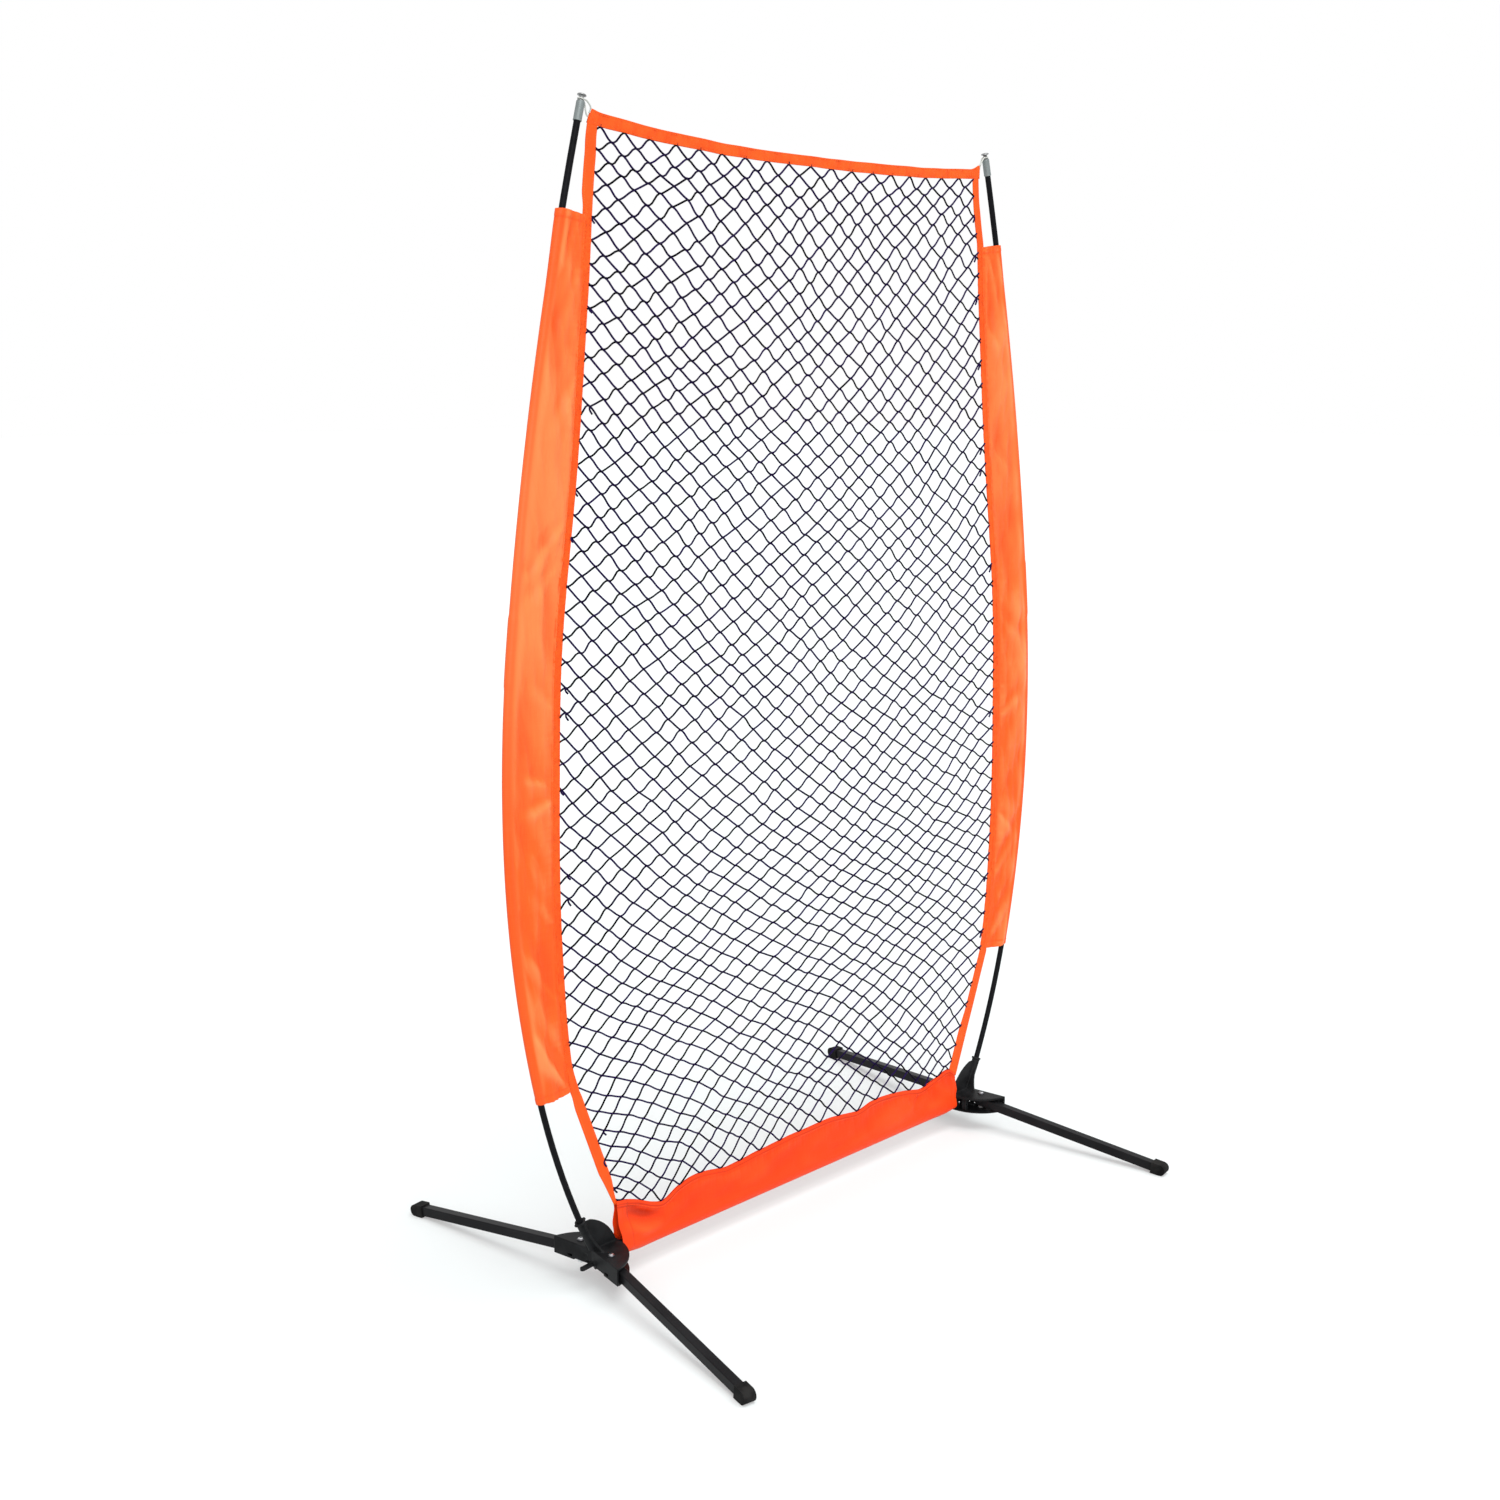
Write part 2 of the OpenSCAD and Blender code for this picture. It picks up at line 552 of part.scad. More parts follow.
module tip_button() color([0.8, 0.8, 0.8]) at_tip() {
  translate([0, 0, tip_l - stem_l]) cylinder(r = pole_r, h = stem_l + 1);
  translate([0, 0, tip_l]) cylinder(d = tip_d - 2, h = 1);
  translate([0, 0, tip_l + 1]) cylinder(d = 8, h = neck_h);
  intersection() {
    translate([0, 0, tip_l + 1 + neck_h]) cylinder(d = button_d, h = head_t);
    translate([0, 0, tip_l + 1 + neck_h + head_t - button_d]) sphere(r = button_d);
  }
}
// Elastic: a ring round the button's neck, over the ferrule's rim, then down each face of the band
loop_r = 4 + loop_d / 2 + 0.1;
strand_r = loop_d / 2 - 0.1;
function by_neck(a, y, h) = [pole_top[0] + h * sin(tip_a) - a * cos(tip_a), y,
                             pole_top[1] + h * cos(tip_a) + a * sin(tip_a)];
module strand(a, b, r) {
  d = b - a;
  translate(a) rotate([0, acos(d[2] / norm(d)), atan2(d[1], d[0])]) cylinder(r = r, h = norm(d));
}
module corner_elastic() color([0.95, 0.95, 0.95]) {
  ring_h = tip_l + 2.2 + loop_d / 2;
  at_tip() translate([0, 0, ring_h]) rotate_extrude() translate([loop_r, 0]) circle(d = loop_d);
  for (s = [-1, 1]) {
    side = s * (band_t + loop_d + 0.2) / 2;
    sewn = [top_x + band_w - 8, side, corner_z - 4];
    edge = [top_x + band_w - 1, side, corner_z + 7];
    neck = by_neck(loop_r * sin(45), s * loop_r * cos(45), ring_h);
    rim = by_neck(tip_d / 2 + loop_d, s * (loop_r * cos(45) - 0.5), ring_h - 0.4);
    strand(neck, rim, strand_r);
    strand(rim, edge, strand_r);
    strand(edge, sewn, strand_r);
    for (turn = [rim, edge]) translate(turn) sphere(d = loop_d);
  }
}

// ---- sewn pieces ----
module side_band() color([1, 0.4, 0.15]) upright(band_t) polygon(concat(
  [for (z = side_zs) [edge_x(z), z]],
  [[top_x, corner_z + band_w * 0.9], [top_x + band_w - 2, corner_z + band_w * 0.9]],
  [for (z = backwards(side_zs)) [band_x(z), z]]));
module side_sleeve() color([1, 0.42, 0.18]) {
  upright(2 * cloth_t) polygon(concat(
    [for (z = mid_zs) [band_x(z), z]],
    [for (z = backwards(mid_zs)) [bow_x(z) - ease_r - cloth_t, z]]));
  difference() {
    upright(2 * sleeve_r) polygon(concat(
      [for (z = mid_zs) [bow_x(z) - ease_r - cloth_t, z]],
      [for (z = backwards(mid_zs)) [bow_x(z) + sleeve_r + flare(z), z]]));
    upright(2 * ease_r) polygon(concat(
      [for (z = mid_zs) [bow_x(z) - ease_r, z + (z == sleeve_low ? -1 : z == sleeve_high ? 1 : 0)]],
      [for (z = backwards(mid_zs)) [bow_x(z) + ease_r + flare(z),
        z + (z == sleeve_low ? -1 : z == sleeve_high ? 1 : 0)]]));
  }
}
top_n = 12;
top_xs = between(-top_x, top_x, 2 * top_n);
module top_band() color([1, 0.4, 0.15]) upright(band_t) polygon(concat(
  [for (x = top_xs) [x, top_z(x)]],
  [for (x = backwards(top_xs)) [x, top_z(x) + band_w * 0.9]]));
module hem_tube(r, z1, t, l) rotate([90, 0, 90]) linear_extrude(l, center = true) {
  translate([0, gap_mid_z]) circle(r = r);
  polygon([[-r, gap_mid_z], [r, gap_mid_z], [t / 2, z1], [-t / 2, z1]]);
}
module bottom_sleeve() color([1, 0.32, 0.14]) {
  difference() {
    hem_tube(hem_r, hem_z - seam_h, seam_t, 2 * hem_x);
    hem_tube(hem_r - cloth_t, hem_z - seam_h - 3, 0.8, 2 * hem_x + 2);
  }
  translate([0, 0, hem_z - seam_h / 2]) cube([2 * (foot_x + band_w), seam_t, seam_h], center = true);
}

// ---- netting: two crossing layers of twine, each strand running from edge to edge ----
run = norm([mesh_w, mesh_h]);
rise = atan2(mesh_h, mesh_w);
edge_rest = 0.35;
top_mid = corner_z - top_sag;
function inside(p) = p[1] > hem_z + edge_rest && p[1] < top_z(p[0]) - edge_rest
  && abs(p[0]) < edge_x(p[1]) - edge_rest;
function on_strand(k, s, t) = [2 * k * mesh_w + s * t * cos(rise), (hem_z + top_mid) / 2 + t * sin(rise)];
function both_in(k, s, t) = inside(on_strand(k, s, t) + twine_d / 2 * [-s * sin(rise), cos(rise)])
  && inside(on_strand(k, s, t) - twine_d / 2 * [-s * sin(rise), cos(rise)]);
// The end of a strand, halving the step between a place inside and one outside
function strand_end(k, s, a, b, n) = n == 0 ? a
  : both_in(k, s, (a + b) / 2) ? strand_end(k, s, (a + b) / 2, b, n - 1)
  : strand_end(k, s, a, (a + b) / 2, n - 1);
half_run = (top_mid - hem_z) / 2 / sin(rise) + 80;
module twine(k, s) {
  hits = [for (t = [-half_run:run / 2:half_run]) if (both_in(k, s, t)) t];
  if (len(hits) > 1) {
    a = strand_end(k, s, hits[0], hits[0] - run, 14);
    b = strand_end(k, s, hits[len(hits) - 1], hits[len(hits) - 1] + run, 14);
    p = on_strand(k, s, (a + b) / 2);
    translate([p[0], s * (twine_d / 2 + 0.02), p[1]]) rotate([0, s > 0 ? -rise : rise, 0])
      cube([b - a, twine_d, twine_d], center = true);
  }
}
strand_n = ceil((2 * edge_x((hem_z + corner_z) / 2) + (top_mid - hem_z) / tan(rise)) / (4 * mesh_w)) + 1;
module netting() color([0.1, 0.09, 0.13]) for (k = [-strand_n:strand_n], s = [-1, 1]) twine(k, s);

crossbar();
crossbar_rivets();
left() hub();  // left_hub
hub();  // right_hub
left() hub_base();  // left_hub_base
hub_base();  // right_hub_base
left() base_screws();  // left_base_screws
base_screws();  // right_base_screws
left() leg_bolts();  // left_leg_bolts
leg_bolts();  // right_leg_bolts
left() leg_nuts();  // left_leg_nuts
leg_nuts();  // right_leg_nuts
left() leg_washers();  // left_leg_washers
leg_washers();  // right_leg_washers
left() front() leg();  // front_left_leg
left() leg();  // back_left_leg
front() leg();  // front_right_leg
leg();  // back_right_leg
left() front() pivot_plug();  // front_left_pivot_plug
left() pivot_plug();  // back_left_pivot_plug
front() pivot_plug();  // front_right_pivot_plug
pivot_plug();  // back_right_pivot_plug
left() front() cap();  // front_left_cap
left() cap();  // back_left_cap
front() cap();  // front_right_cap
cap();  // back_right_cap
left() lock_lever();  // left_lock_lever
lock_lever();  // right_lock_lever
left() lever_pin();  // left_lever_pin
lever_pin();  // right_lever_pin
left() lower_pole();  // left_lower_pole
lower_pole();  // right_lower_pole
left() upper_pole();  // left_upper_pole
upper_pole();  // right_upper_pole
left() pole_joint();  // left_pole_joint
pole_joint();  // right_pole_joint
left() tip_ferrule();  // left_tip_ferrule
tip_ferrule();  // right_tip_ferrule
left() tip_button();  // left_tip_button
tip_button();  // right_tip_button
left() shock_cord();  // left_shock_cord
shock_cord();  // right_shock_cord
left() corner_elastic();  // left_corner_elastic
corner_elastic();  // right_corner_elastic
left() side_sleeve();  // left_side_sleeve
side_sleeve();  // right_side_sleeve
left() side_band();  // left_side_band
side_band();  // right_side_band
top_band();
bottom_sleeve();
netting();
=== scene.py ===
import math

import bmesh
import bpy
import numpy as np
from mathutils import Matrix, Vector


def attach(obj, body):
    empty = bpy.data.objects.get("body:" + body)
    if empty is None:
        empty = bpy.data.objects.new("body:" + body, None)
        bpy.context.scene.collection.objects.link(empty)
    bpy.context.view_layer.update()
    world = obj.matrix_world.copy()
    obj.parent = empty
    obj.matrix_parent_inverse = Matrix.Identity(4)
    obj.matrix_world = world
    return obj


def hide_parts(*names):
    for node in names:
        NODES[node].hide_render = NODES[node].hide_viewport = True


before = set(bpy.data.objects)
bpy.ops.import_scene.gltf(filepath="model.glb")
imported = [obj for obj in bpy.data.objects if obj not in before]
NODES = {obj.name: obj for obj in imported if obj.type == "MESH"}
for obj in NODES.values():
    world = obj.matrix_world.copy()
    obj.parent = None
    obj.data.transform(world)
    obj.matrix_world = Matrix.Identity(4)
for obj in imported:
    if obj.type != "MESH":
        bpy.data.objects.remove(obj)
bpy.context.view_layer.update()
TAU = 2 * math.pi
WORDS = {-1: "left", 1: "right"}

# ---------------------------------------------------------------- sizes, as the CAD has them
BAR_Z, BAR_R = 0.05706, 0.0111            # crossbar: height of its middle, and its radius
MOUTH = (0.5868, 0.14112)                 # mouth of a pole's socket: across, up
LEAN = 22.8                               # outward lean of the socket, in degrees
BOW_R = (1.616, 2.270, 2.640, 6.250)      # radii of a pole's four bends, from the bottom up
BOW_A = (11.1, 10.2, 8.2, 8.1)            # how far each bend turns, in degrees
GAPS = (0.082, 0.103, 0.115, 0.110, 0.108, 0.084, 0.047)  # from the pole in to the net, at even heights
POLE_R = 0.0059
SLEEVE_LOW, SLEEVE_HIGH = 0.398, 1.948    # ends of the side sleeves
CORNER_Z, TOP_SAG = 2.085, 0.027          # lower edge of the top band: its corners, and how far it sags
HEM_Z, FOOT_X = 0.140, 0.494              # where the bottom sleeve meets a side band: up, across
BAND_W = 0.020                            # width of a side band

# ---------------------------------------------------------------- sizes of the sewing and the net
TOP_W = 0.0185                            # width of the top tape before it is drawn
SIDE_ROWS = (.0030, .0170)                # rows of stitches, from a side tape's inner edge
TOP_ROWS = (.0028, .0152)                 # the same along the top tape
HEM_FLAT = (.985, .205)                   # the bottom sleeve laid flat: across, round
HEM_ROWS = ((.0035, .0021), (.0105, .0029))  # along the bottom sleeve: below its edge, out from its middle
ZIGZAG_AT = .0135                         # the seam between a side tape and its sleeve
SLEEVE_CLOTH, HEM_CLOTH = 0.0006, 0.0007  # how thick the cloths are
TWINE_D, KNOT_R = 0.0036, 0.0020
ACROSS, ROWS = 18.5, 94                   # meshes across the net, and half meshes down it


def bends():
    """Ends and centres of the four bends of a pole, and its lean at each end."""
    lean, at = LEAN, np.array(MOUTH)
    ends, mids, leans = [at], [], [lean]
    for r, a in zip(BOW_R, BOW_A):
        mid = at - r * np.array([math.cos(math.radians(lean)), -math.sin(math.radians(lean))])
        lean -= a
        at = mid + r * np.array([math.cos(math.radians(lean)), -math.sin(math.radians(lean))])
        ends.append(at)
        mids.append(mid)
        leans.append(lean)
    return ends, mids, leans


BENDS, MIDS, LEANS = bends()
TIP_A = math.radians(LEANS[-1])
TIP = BENDS[-1]


def bow_x(z):
    """How far out a pole's middle line is at a height."""
    z = np.asarray(z, float)
    k = np.searchsorted([BENDS[1][1], BENDS[2][1], BENDS[3][1]], z, side="right")
    r, mid = np.array(BOW_R)[k], np.array(MIDS)[k]
    return mid[..., 0] + np.sqrt(np.maximum(r**2 - (z - mid[..., 1]) ** 2, 0))


def curved(a, b, c, d, t):
    """A smooth curve from b to c, when a comes before them and d after."""
    return b + t * ((c - a) / 2 + t * ((2 * a - 5 * b + 4 * c - d) / 2 + t * (3 * b - a - 3 * c + d) / 2))


def gap_at(z):
    """How far the netting's edge is from the pole at a height."""
    n = len(GAPS) - 1
    u = n * (np.asarray(z, float) - SLEEVE_LOW) / (CORNER_Z - SLEEVE_LOW)
    k = np.clip(np.floor(u).astype(int), 0, n - 1)
    g = np.array(GAPS)
    return curved(*(g[np.clip(k + step, 0, n)] for step in (-1, 0, 1, 2)), u - k)


KNEE_X = float(bow_x(SLEEVE_LOW)) - GAPS[0]


def edge_x(z):
    """Where the netting meets the side band, at a height."""
    z = np.asarray(z, float)
    low = FOOT_X + (KNEE_X - FOOT_X) * (z - HEM_Z) / (SLEEVE_LOW - HEM_Z)
    return np.where(z >= SLEEVE_LOW, bow_x(z) - gap_at(z), low)


TOP_X = float(edge_x(CORNER_Z))


def eased(x, table):
    """Reads a table of (place, value) pairs with its corners softened."""
    x, (at, value) = np.asarray(x, float), np.array(table).T
    return sum(np.interp(x + d, at, value) for d in (-.03, -.015, 0, .015, .03)) / 5


# How far the top band hangs below its even curve, its width, and where its ends are
TOP_DROP = [(-.56, .0024), (-.53, .0032), (-.49, .0052), (-.44, .0034), (-.37, .0042), (-.3, .0023),
            (-.2, .0022), (-.1, .0006), (0, -.0016), (.1, 0), (.2, .0022), (.27, .0030), (.32, .0052),
            (.4, .0072), (.45, .0080), (.5, .0104), (.56, .0110)]
TOP_WIDTH = [(-.54, .0238), (-.45, .0222), (-.35, .0210), (-.2, .0199), (0, .0188), (.2, .0200), (.5, .0190)]
TOP_ENDS = (-.5240, .5157)


def top_z(x):
    """Lower edge of the top band, which the right-hand corner lets down a little."""
    x = np.asarray(x, float)
    return CORNER_Z - TOP_SAG * (1 - (x / TOP_X) ** 2) - eased(x, TOP_DROP)


def top_wide(x):
    """Width of the top band, which the elastic draws up to a point at the right-hand corner."""
    return eased(x, TOP_WIDTH) + .0075 * np.clip((x - .487) / .0275, 0, 1) ** 1.6


def band_x(side, z):
    """Inner edge of a side band where the net draws it in: below the left sleeve and above the right one."""
    z = np.asarray(z, float)
    if side < 0:
        drawn = .0075 * smooth((.46 - z) / .08) * smooth((z - .150) / .06) - .0030 * smooth((z - 2.03) / .04)
    else:
        drawn = .0070 * np.sin(math.pi * np.clip((z - SLEEVE_HIGH) / (2.105 - SLEEVE_HIGH), 0, 1))
        drawn = drawn + .0052 * smooth((.275 - z) / .06)
    return edge_x(z) - drawn


def band_wide(side, z):
    """Width of a side band: on the left wider where no sleeve covers it, and drawn to a point at the bottom."""
    z = np.asarray(z, float)
    if side > 0:
        low = .0058 * smooth((.41 - z) / .02) + .0048 * smooth((.275 - z) / .06)
        return BAND_W - .0014 * smooth((z - 2.0) / .04) + low
    bare = smooth((z - SLEEVE_HIGH) / .03) + smooth((SLEEVE_LOW - z) / .04)
    extra = .0038 * bare - .0012 * smooth((z - 2.02) / .06)
    return (BAND_W + extra) * (.30 + .70 * smooth((z - HEM_Z) / .085))


# Top edge of the bottom sleeve: across, up
HEM = np.array([
    (-.520, .154), (-.497, .153), (-.470, .146), (-.447, .138), (-.430, .130), (-.412, .121),
    (-.389, .1135), (-.376, .114), (-.362, .120), (-.349, .128), (-.329, .1345), (-.308, .1385),
    (-.2845, .1395), (-.264, .137), (-.236, .132), (-.212, .1275), (-.190, .129), (-.162, .1305),
    (-.135, .1336), (-.104, .1348), (-.078, .1364), (-.033, .139), (-.006, .1395), (.024, .1394),
    (.070, .141), (.100, .140), (.134, .136), (.174, .130), (.195, .1325), (.220, .139),
    (.253, .140), (.295, .137), (.342, .130), (.386, .1195), (.408, .1235), (.435, .130),
    (.4615, .137), (.476, .1408), (.489, .1402), (.507, .1216), (.53, .110)])


def hem_z(x):
    """Top edge of the bottom sleeve, which the netting pulls up in shallow scallops."""
    x = np.asarray(x, float)
    return sum(w * np.interp(x + dx, HEM[:, 0], HEM[:, 1])
               for dx, w in ((-.008, .15), (-.004, .22), (0, .26), (.004, .22), (.008, .15)))


def smooth(t):
    """Nought below nought, one above one, and an even swing between."""
    t = np.clip(t, 0, 1)
    return t * t * (3 - 2 * t)


def bell(x, width):
    """One at nought, falling evenly on both sides."""
    return np.exp(-(x / width) ** 2)


def joined(*parts):
    """Points from their coordinates, which are numbers or arrays that spread over one another."""
    return np.stack(np.broadcast_arrays(*parts), axis=-1)


def ripples(x, z, size_x, size_z, seed, n=10):
    """Soft random waves of about the given lengths, with a spread of about one."""
    rng = np.random.default_rng(seed)
    total = 0
    for _ in range(n):
        a, b, c = rng.normal() / size_x, rng.normal() / size_z, rng.uniform(0, TAU)
        total = total + np.cos(TAU * (a * x + b * z) + c)
    return total / math.sqrt(n / 2)


def valley(x, z, start, end, width):
    """One along a smooth trough from start to end, and falling to nought round it."""
    (x0, z0), (x1, z1) = start, end
    dx, dz = x1 - x0, z1 - z0
    t = np.clip(((x - x0) * dx + (z - z0) * dz) / (dx * dx + dz * dz), 0, 1)
    away = (x - x0 - t * dx) ** 2 + (z - z0 - t * dz) ** 2
    return np.exp(-away / width**2 - ((t - .5) / .55) ** 2)


def run_along(points):
    """How far along a line each of its points lies."""
    return np.concatenate([[0], np.cumsum(np.linalg.norm(np.diff(points, axis=0), axis=1))])


def crease(x, z, start, end, width, height):
    """A fold from start to end: a ridge with a hollow along one side, fading at both ends."""
    (x0, z0), (x1, z1) = start, end
    dx, dz = x1 - x0, z1 - z0
    size = math.hypot(dx, dz)
    t = ((x - x0) * dx + (z - z0) * dz) / size**2
    off = ((x - x0) * -dz + (z - z0) * dx) / size
    fade = smooth(t / 0.3 + 0.25) * smooth((1.05 - t) / 0.4)
    wide = width * (0.6 + 0.8 * np.clip(t, 0, 1))
    return height * fade * (bell(off, wide) - 0.7 * bell(off - 1.5 * wide, 1.3 * wide))


# ---------------------------------------------------------------- node work
class Wire:
    """A socket that takes part in sums; every operator adds the Math node it stands for."""

    def __init__(self, bench, socket):
        self.bench, self.socket = bench, socket

    def maths(self, operation, *others):
        return self.bench.add("ShaderNodeMath", others, operation=operation)

    def __add__(self, o): return self.maths("ADD", self, o)
    def __sub__(self, o): return self.maths("SUBTRACT", self, o)
    def __rsub__(self, o): return self.maths("SUBTRACT", o, self)
    def __mul__(self, o): return self.maths("MULTIPLY", self, o)
    def __truediv__(self, o): return self.maths("DIVIDE", self, o)
    def __pow__(self, o): return self.maths("POWER", self, o)
    def __neg__(self): return self.maths("MULTIPLY", self, -1.0)
    def sine(self): return self.maths("SINE", self)
    def size(self): return self.maths("ABSOLUTE", self)
    def most(self, o): return self.maths("MAXIMUM", self, o)


class Bench:
    """A node tree being built, for a material, the world or a geometry group."""

    def __init__(self, tree):
        self.tree = tree

    def add(self, kind, inputs=None, out=0, **settings):
        """Adds a node: first its settings, then its sockets' values or wires (a list joins several)."""
        node = self.tree.nodes.new(kind)
        for key, value in settings.items():
            setattr(node, key, value)
        pairs = enumerate(inputs) if isinstance(inputs, (list, tuple)) else (inputs or {}).items()
        for key, value in pairs:
            socket = node.inputs[key]
            if isinstance(value, (Wire, list)):
                for wire in value if isinstance(value, list) else [value]:
                    self.tree.links.new(wire.socket, socket)
                continue
            if socket.type == "RGBA" and len(value) == 3:
                value = (*value, 1)
            socket.default_value = value
        return Wire(self, node.outputs[out]) if len(node.outputs) else node

    def outputs(self, kind, inputs=None):
        """Adds a node and gives a wire for each of its outputs."""
        return [Wire(self, socket) for socket in self.add(kind, inputs).socket.node.outputs]

    def blend(self, share, a, b):
        """Colour a where the share is nought, colour b where it is one."""
        return self.add("ShaderNodeMix", {0: share, 6: a, 7: b}, 2, data_type="RGBA")

    def mottle(self, place, scale, detail, roughness=0.5):
        """Soft noise from nought to one, about a half on the whole, with one scale or one for each axis."""
        if isinstance(scale, tuple):
            place = self.add("ShaderNodeVectorMath", [place, scale], operation="MULTIPLY")
            scale = 1.0
        return self.add("ShaderNodeTexNoise", {"Vector": place, "Scale": scale, "Detail": detail,
                                               "Roughness": roughness}, "Fac")

    def clamp(self, value, low, high, to_low=0.0, to_high=1.0):
        """Takes low and high to to_low and to_high, and holds the rest at the nearer end."""
        return self.add("ShaderNodeMapRange", {"Value": value, "From Min": low, "From Max": high,
                                               "To Min": to_low, "To Max": to_high})

    def field(self, name):
        """What a piece's mesh has stored under a name."""
        return self.add("ShaderNodeAttribute", out="Fac", attribute_name=name)

    def cloth_uv(self):
        uv = self.add("ShaderNodeUVMap", out="UV", uv_map="cloth")
        return [uv] + self.outputs("ShaderNodeSeparateXYZ", [uv])[:2]

    def parts(self, vector):
        return self.outputs("ShaderNodeSeparateXYZ", [vector])


def finish_coat(name, recipe, *values, **fixed):
    """A material: recipe makes what varies out of values, Height in metres; fixed goes on the shader."""
    material = bpy.data.materials.new(name)
    material.use_nodes = True
    material.node_tree.nodes.clear()
    bench = Bench(material.node_tree)
    place = bench.add("ShaderNodeTexCoord", out="Object")
    made = recipe(bench, place, *values)
    bump = {"Strength": 1.0, "Distance": 1.0, "Height": made.pop("Height")}
    made["Normal"] = bench.add("ShaderNodeBump", bump)
    shader = bench.add("ShaderNodeBsdfPrincipled", {**fixed, **made}, "BSDF")
    bench.add("ShaderNodeOutputMaterial", {"Surface": shader})
    return material


# ---------------------------------------------------------------- finishes
def relief_light_and_shade(b, tone, pale, deep):
    """Painted highlight on the ridges of the folds and puckers and painted shade in their hollows and sewn
    grooves, as the piece's own lift says.
    """
    lift = b.field("lift")
    tone = b.blend(b.clamp(lift, 0.0, 1.0), tone, pale)
    return b.blend(b.clamp(-lift, 0.0, 1.0), tone, deep)


def satin(b, place, body, deep, pale, hollow, painted_light_share, crumple):
    """Woven polyester: fine plain weave, slubs along the threads, soft crinkles and drifting tone, with painted
    highlight and shade.
    The number after the colours says how strong the painted highlight at mid height is and how far the right
    sleeve is painted deeper below it; crumple says how deep the crinkles are."""
    thread = 0.0011
    uv, u, v = b.cloth_uv()
    weave = (u * (TAU / thread)).sine() * (v * (TAU / thread)).sine()
    warp = b.mottle(uv, (900.0, 14.0, 1.0), 2.0)
    weft = b.mottle(uv, (12.0, 800.0, 1.0), 2.0)
    drift = b.mottle(place, (5.0, 5.0, 2.2), 3.0)
    crinkle = b.mottle(place, (60.0, 60.0, 26.0), 4.0, 0.55)
    fold = b.mottle(place, (17.0, 17.0, 7.0), 3.0)
    x, y, height = b.parts(place)
    right = b.clamp(x, -0.1, 0.1)
    # Painted shade: the right sleeve is coloured deeper below mid height
    low_right = right * b.clamp(height, 1.25, 0.85)
    tone = b.blend(b.clamp(drift - low_right * (0.25 * painted_light_share), 0.3, 0.7), deep, body)
    # Painted highlight: paler at mid height, where a broad light would fall most, weaker and lower on the right
    # sleeve and broken up by the fold noise
    mid_height = b.clamp(height, 1.98, 1.50) * b.clamp(height - right * 0.27, 0.85, 1.35)
    painted_glow = mid_height * (painted_light_share - right * 0.2)
    tone = b.blend(painted_glow * b.clamp(fold, 0.25, 0.75, 0.75, 1.0), tone, pale)
    tone = relief_light_and_shade(b, tone, pale, hollow)
    tone = b.blend(b.clamp(warp + weft, 0.8, 1.3, 0.0, 0.12), tone, pale)
    soft = crinkle * (0.0009 * crumple) + fold * (0.0020 * crumple)
    return {"Base Color": tone, "Roughness": b.clamp(drift, 0.3, 0.7, 0.50, 0.40),
            "Height": weave * 0.00003 + (warp + weft) * 0.00004 + soft}


def ribbed(b, place, body, deep):
    """Narrow binding tape: ribs across its width, and darker where it has been handled; the rib crests are
    painted a little paler, and the lift is painted as highlight and shade.
    """
    uv, u, v = b.cloth_uv()
    ribs = (v * (TAU / 0.0013)).sine()
    threads = (u * (TAU / 0.0009)).sine()
    drift = b.mottle(place, (14.0, 14.0, 9.0), 3.0)
    fuzz = b.mottle(place, 900.0, 2.0)
    tone = b.blend(b.clamp(drift + ribs * 0.05, 0.3, 0.75), deep, body)
    return {"Base Color": relief_light_and_shade(b, tone, body, tuple(0.78 * c for c in deep)),
            "Roughness": b.clamp(fuzz, 0.3, 0.7, 0.50, 0.62),
            "Height": ribs * 0.00006 + threads * 0.00003 + fuzz * 0.0001 + drift * 0.0004}


def twisted(b, place, first, second):
    """Twisted twine: strands wound round each other, one tint on the left of the net and one on the right."""
    along, around = b.field("along"), b.field("around")
    wind = ((along / 0.0034 + around * 2.0) * TAU).sine()
    x, y, z = b.parts(place)
    patch = b.mottle(place, (14.0, 14.0, 14.0), 2.0)
    share = b.clamp(x * 0.5 + (patch - 0.5) * 2.4, -0.25, 0.25)
    fuzz = b.mottle(place, 1500.0, 1.0)
    return {"Base Color": b.blend(share, first, second),
            "Roughness": b.clamp(fuzz, 0.3, 0.7, 0.50, 0.68),
            "Height": wind * 0.00012 + fuzz * 0.00008}


def moulded(b, place, body, worn, grain=1100.0, depth=0.00010, gloss=(0.36, 0.50)):
    """Moulded plastic: spark-eroded grain, cloudy gloss, edges rubbed paler."""
    fine = b.mottle(place, grain, 3.0, 0.6)
    cloud = b.mottle(place, 38.0, 3.0)
    flow = b.mottle(place, (9.0, 9.0, 30.0), 2.0)
    point = b.add("ShaderNodeNewGeometry", out="Pointiness")
    edge = b.clamp(point, 0.515, 0.60) * b.clamp(cloud, 0.40, 0.62)
    tone = b.blend(edge * 0.55, b.blend(b.clamp(cloud, 0.35, 0.65, 0.0, 0.35), body, worn), worn)
    return {"Base Color": tone, "Roughness": b.clamp(cloud + fine * 0.2, 0.4, 0.8, *gloss),
            "Height": fine * depth + flow * 0.00012}


def coated(b, place, body, pale):
    """Powder coat on steel: orange peel, with a few fine rub marks along the tube."""
    skin = b.mottle(place, 260.0, 2.0)
    fine = b.mottle(place, 1600.0, 2.0)
    cloud = b.mottle(place, 12.0, 3.0)
    rub = b.mottle(place, (30.0, 400.0, 400.0), 2.0)
    marks = b.clamp(rub, 0.64, 0.74)
    return {"Base Color": b.blend(marks * 0.25 + b.clamp(cloud, 0.35, 0.7, 0.0, 0.3), body, pale),
            "Roughness": b.clamp(cloud + marks * 0.2, 0.35, 0.75, 0.30, 0.44),
            "Height": skin * 0.00010 + fine * 0.00003}


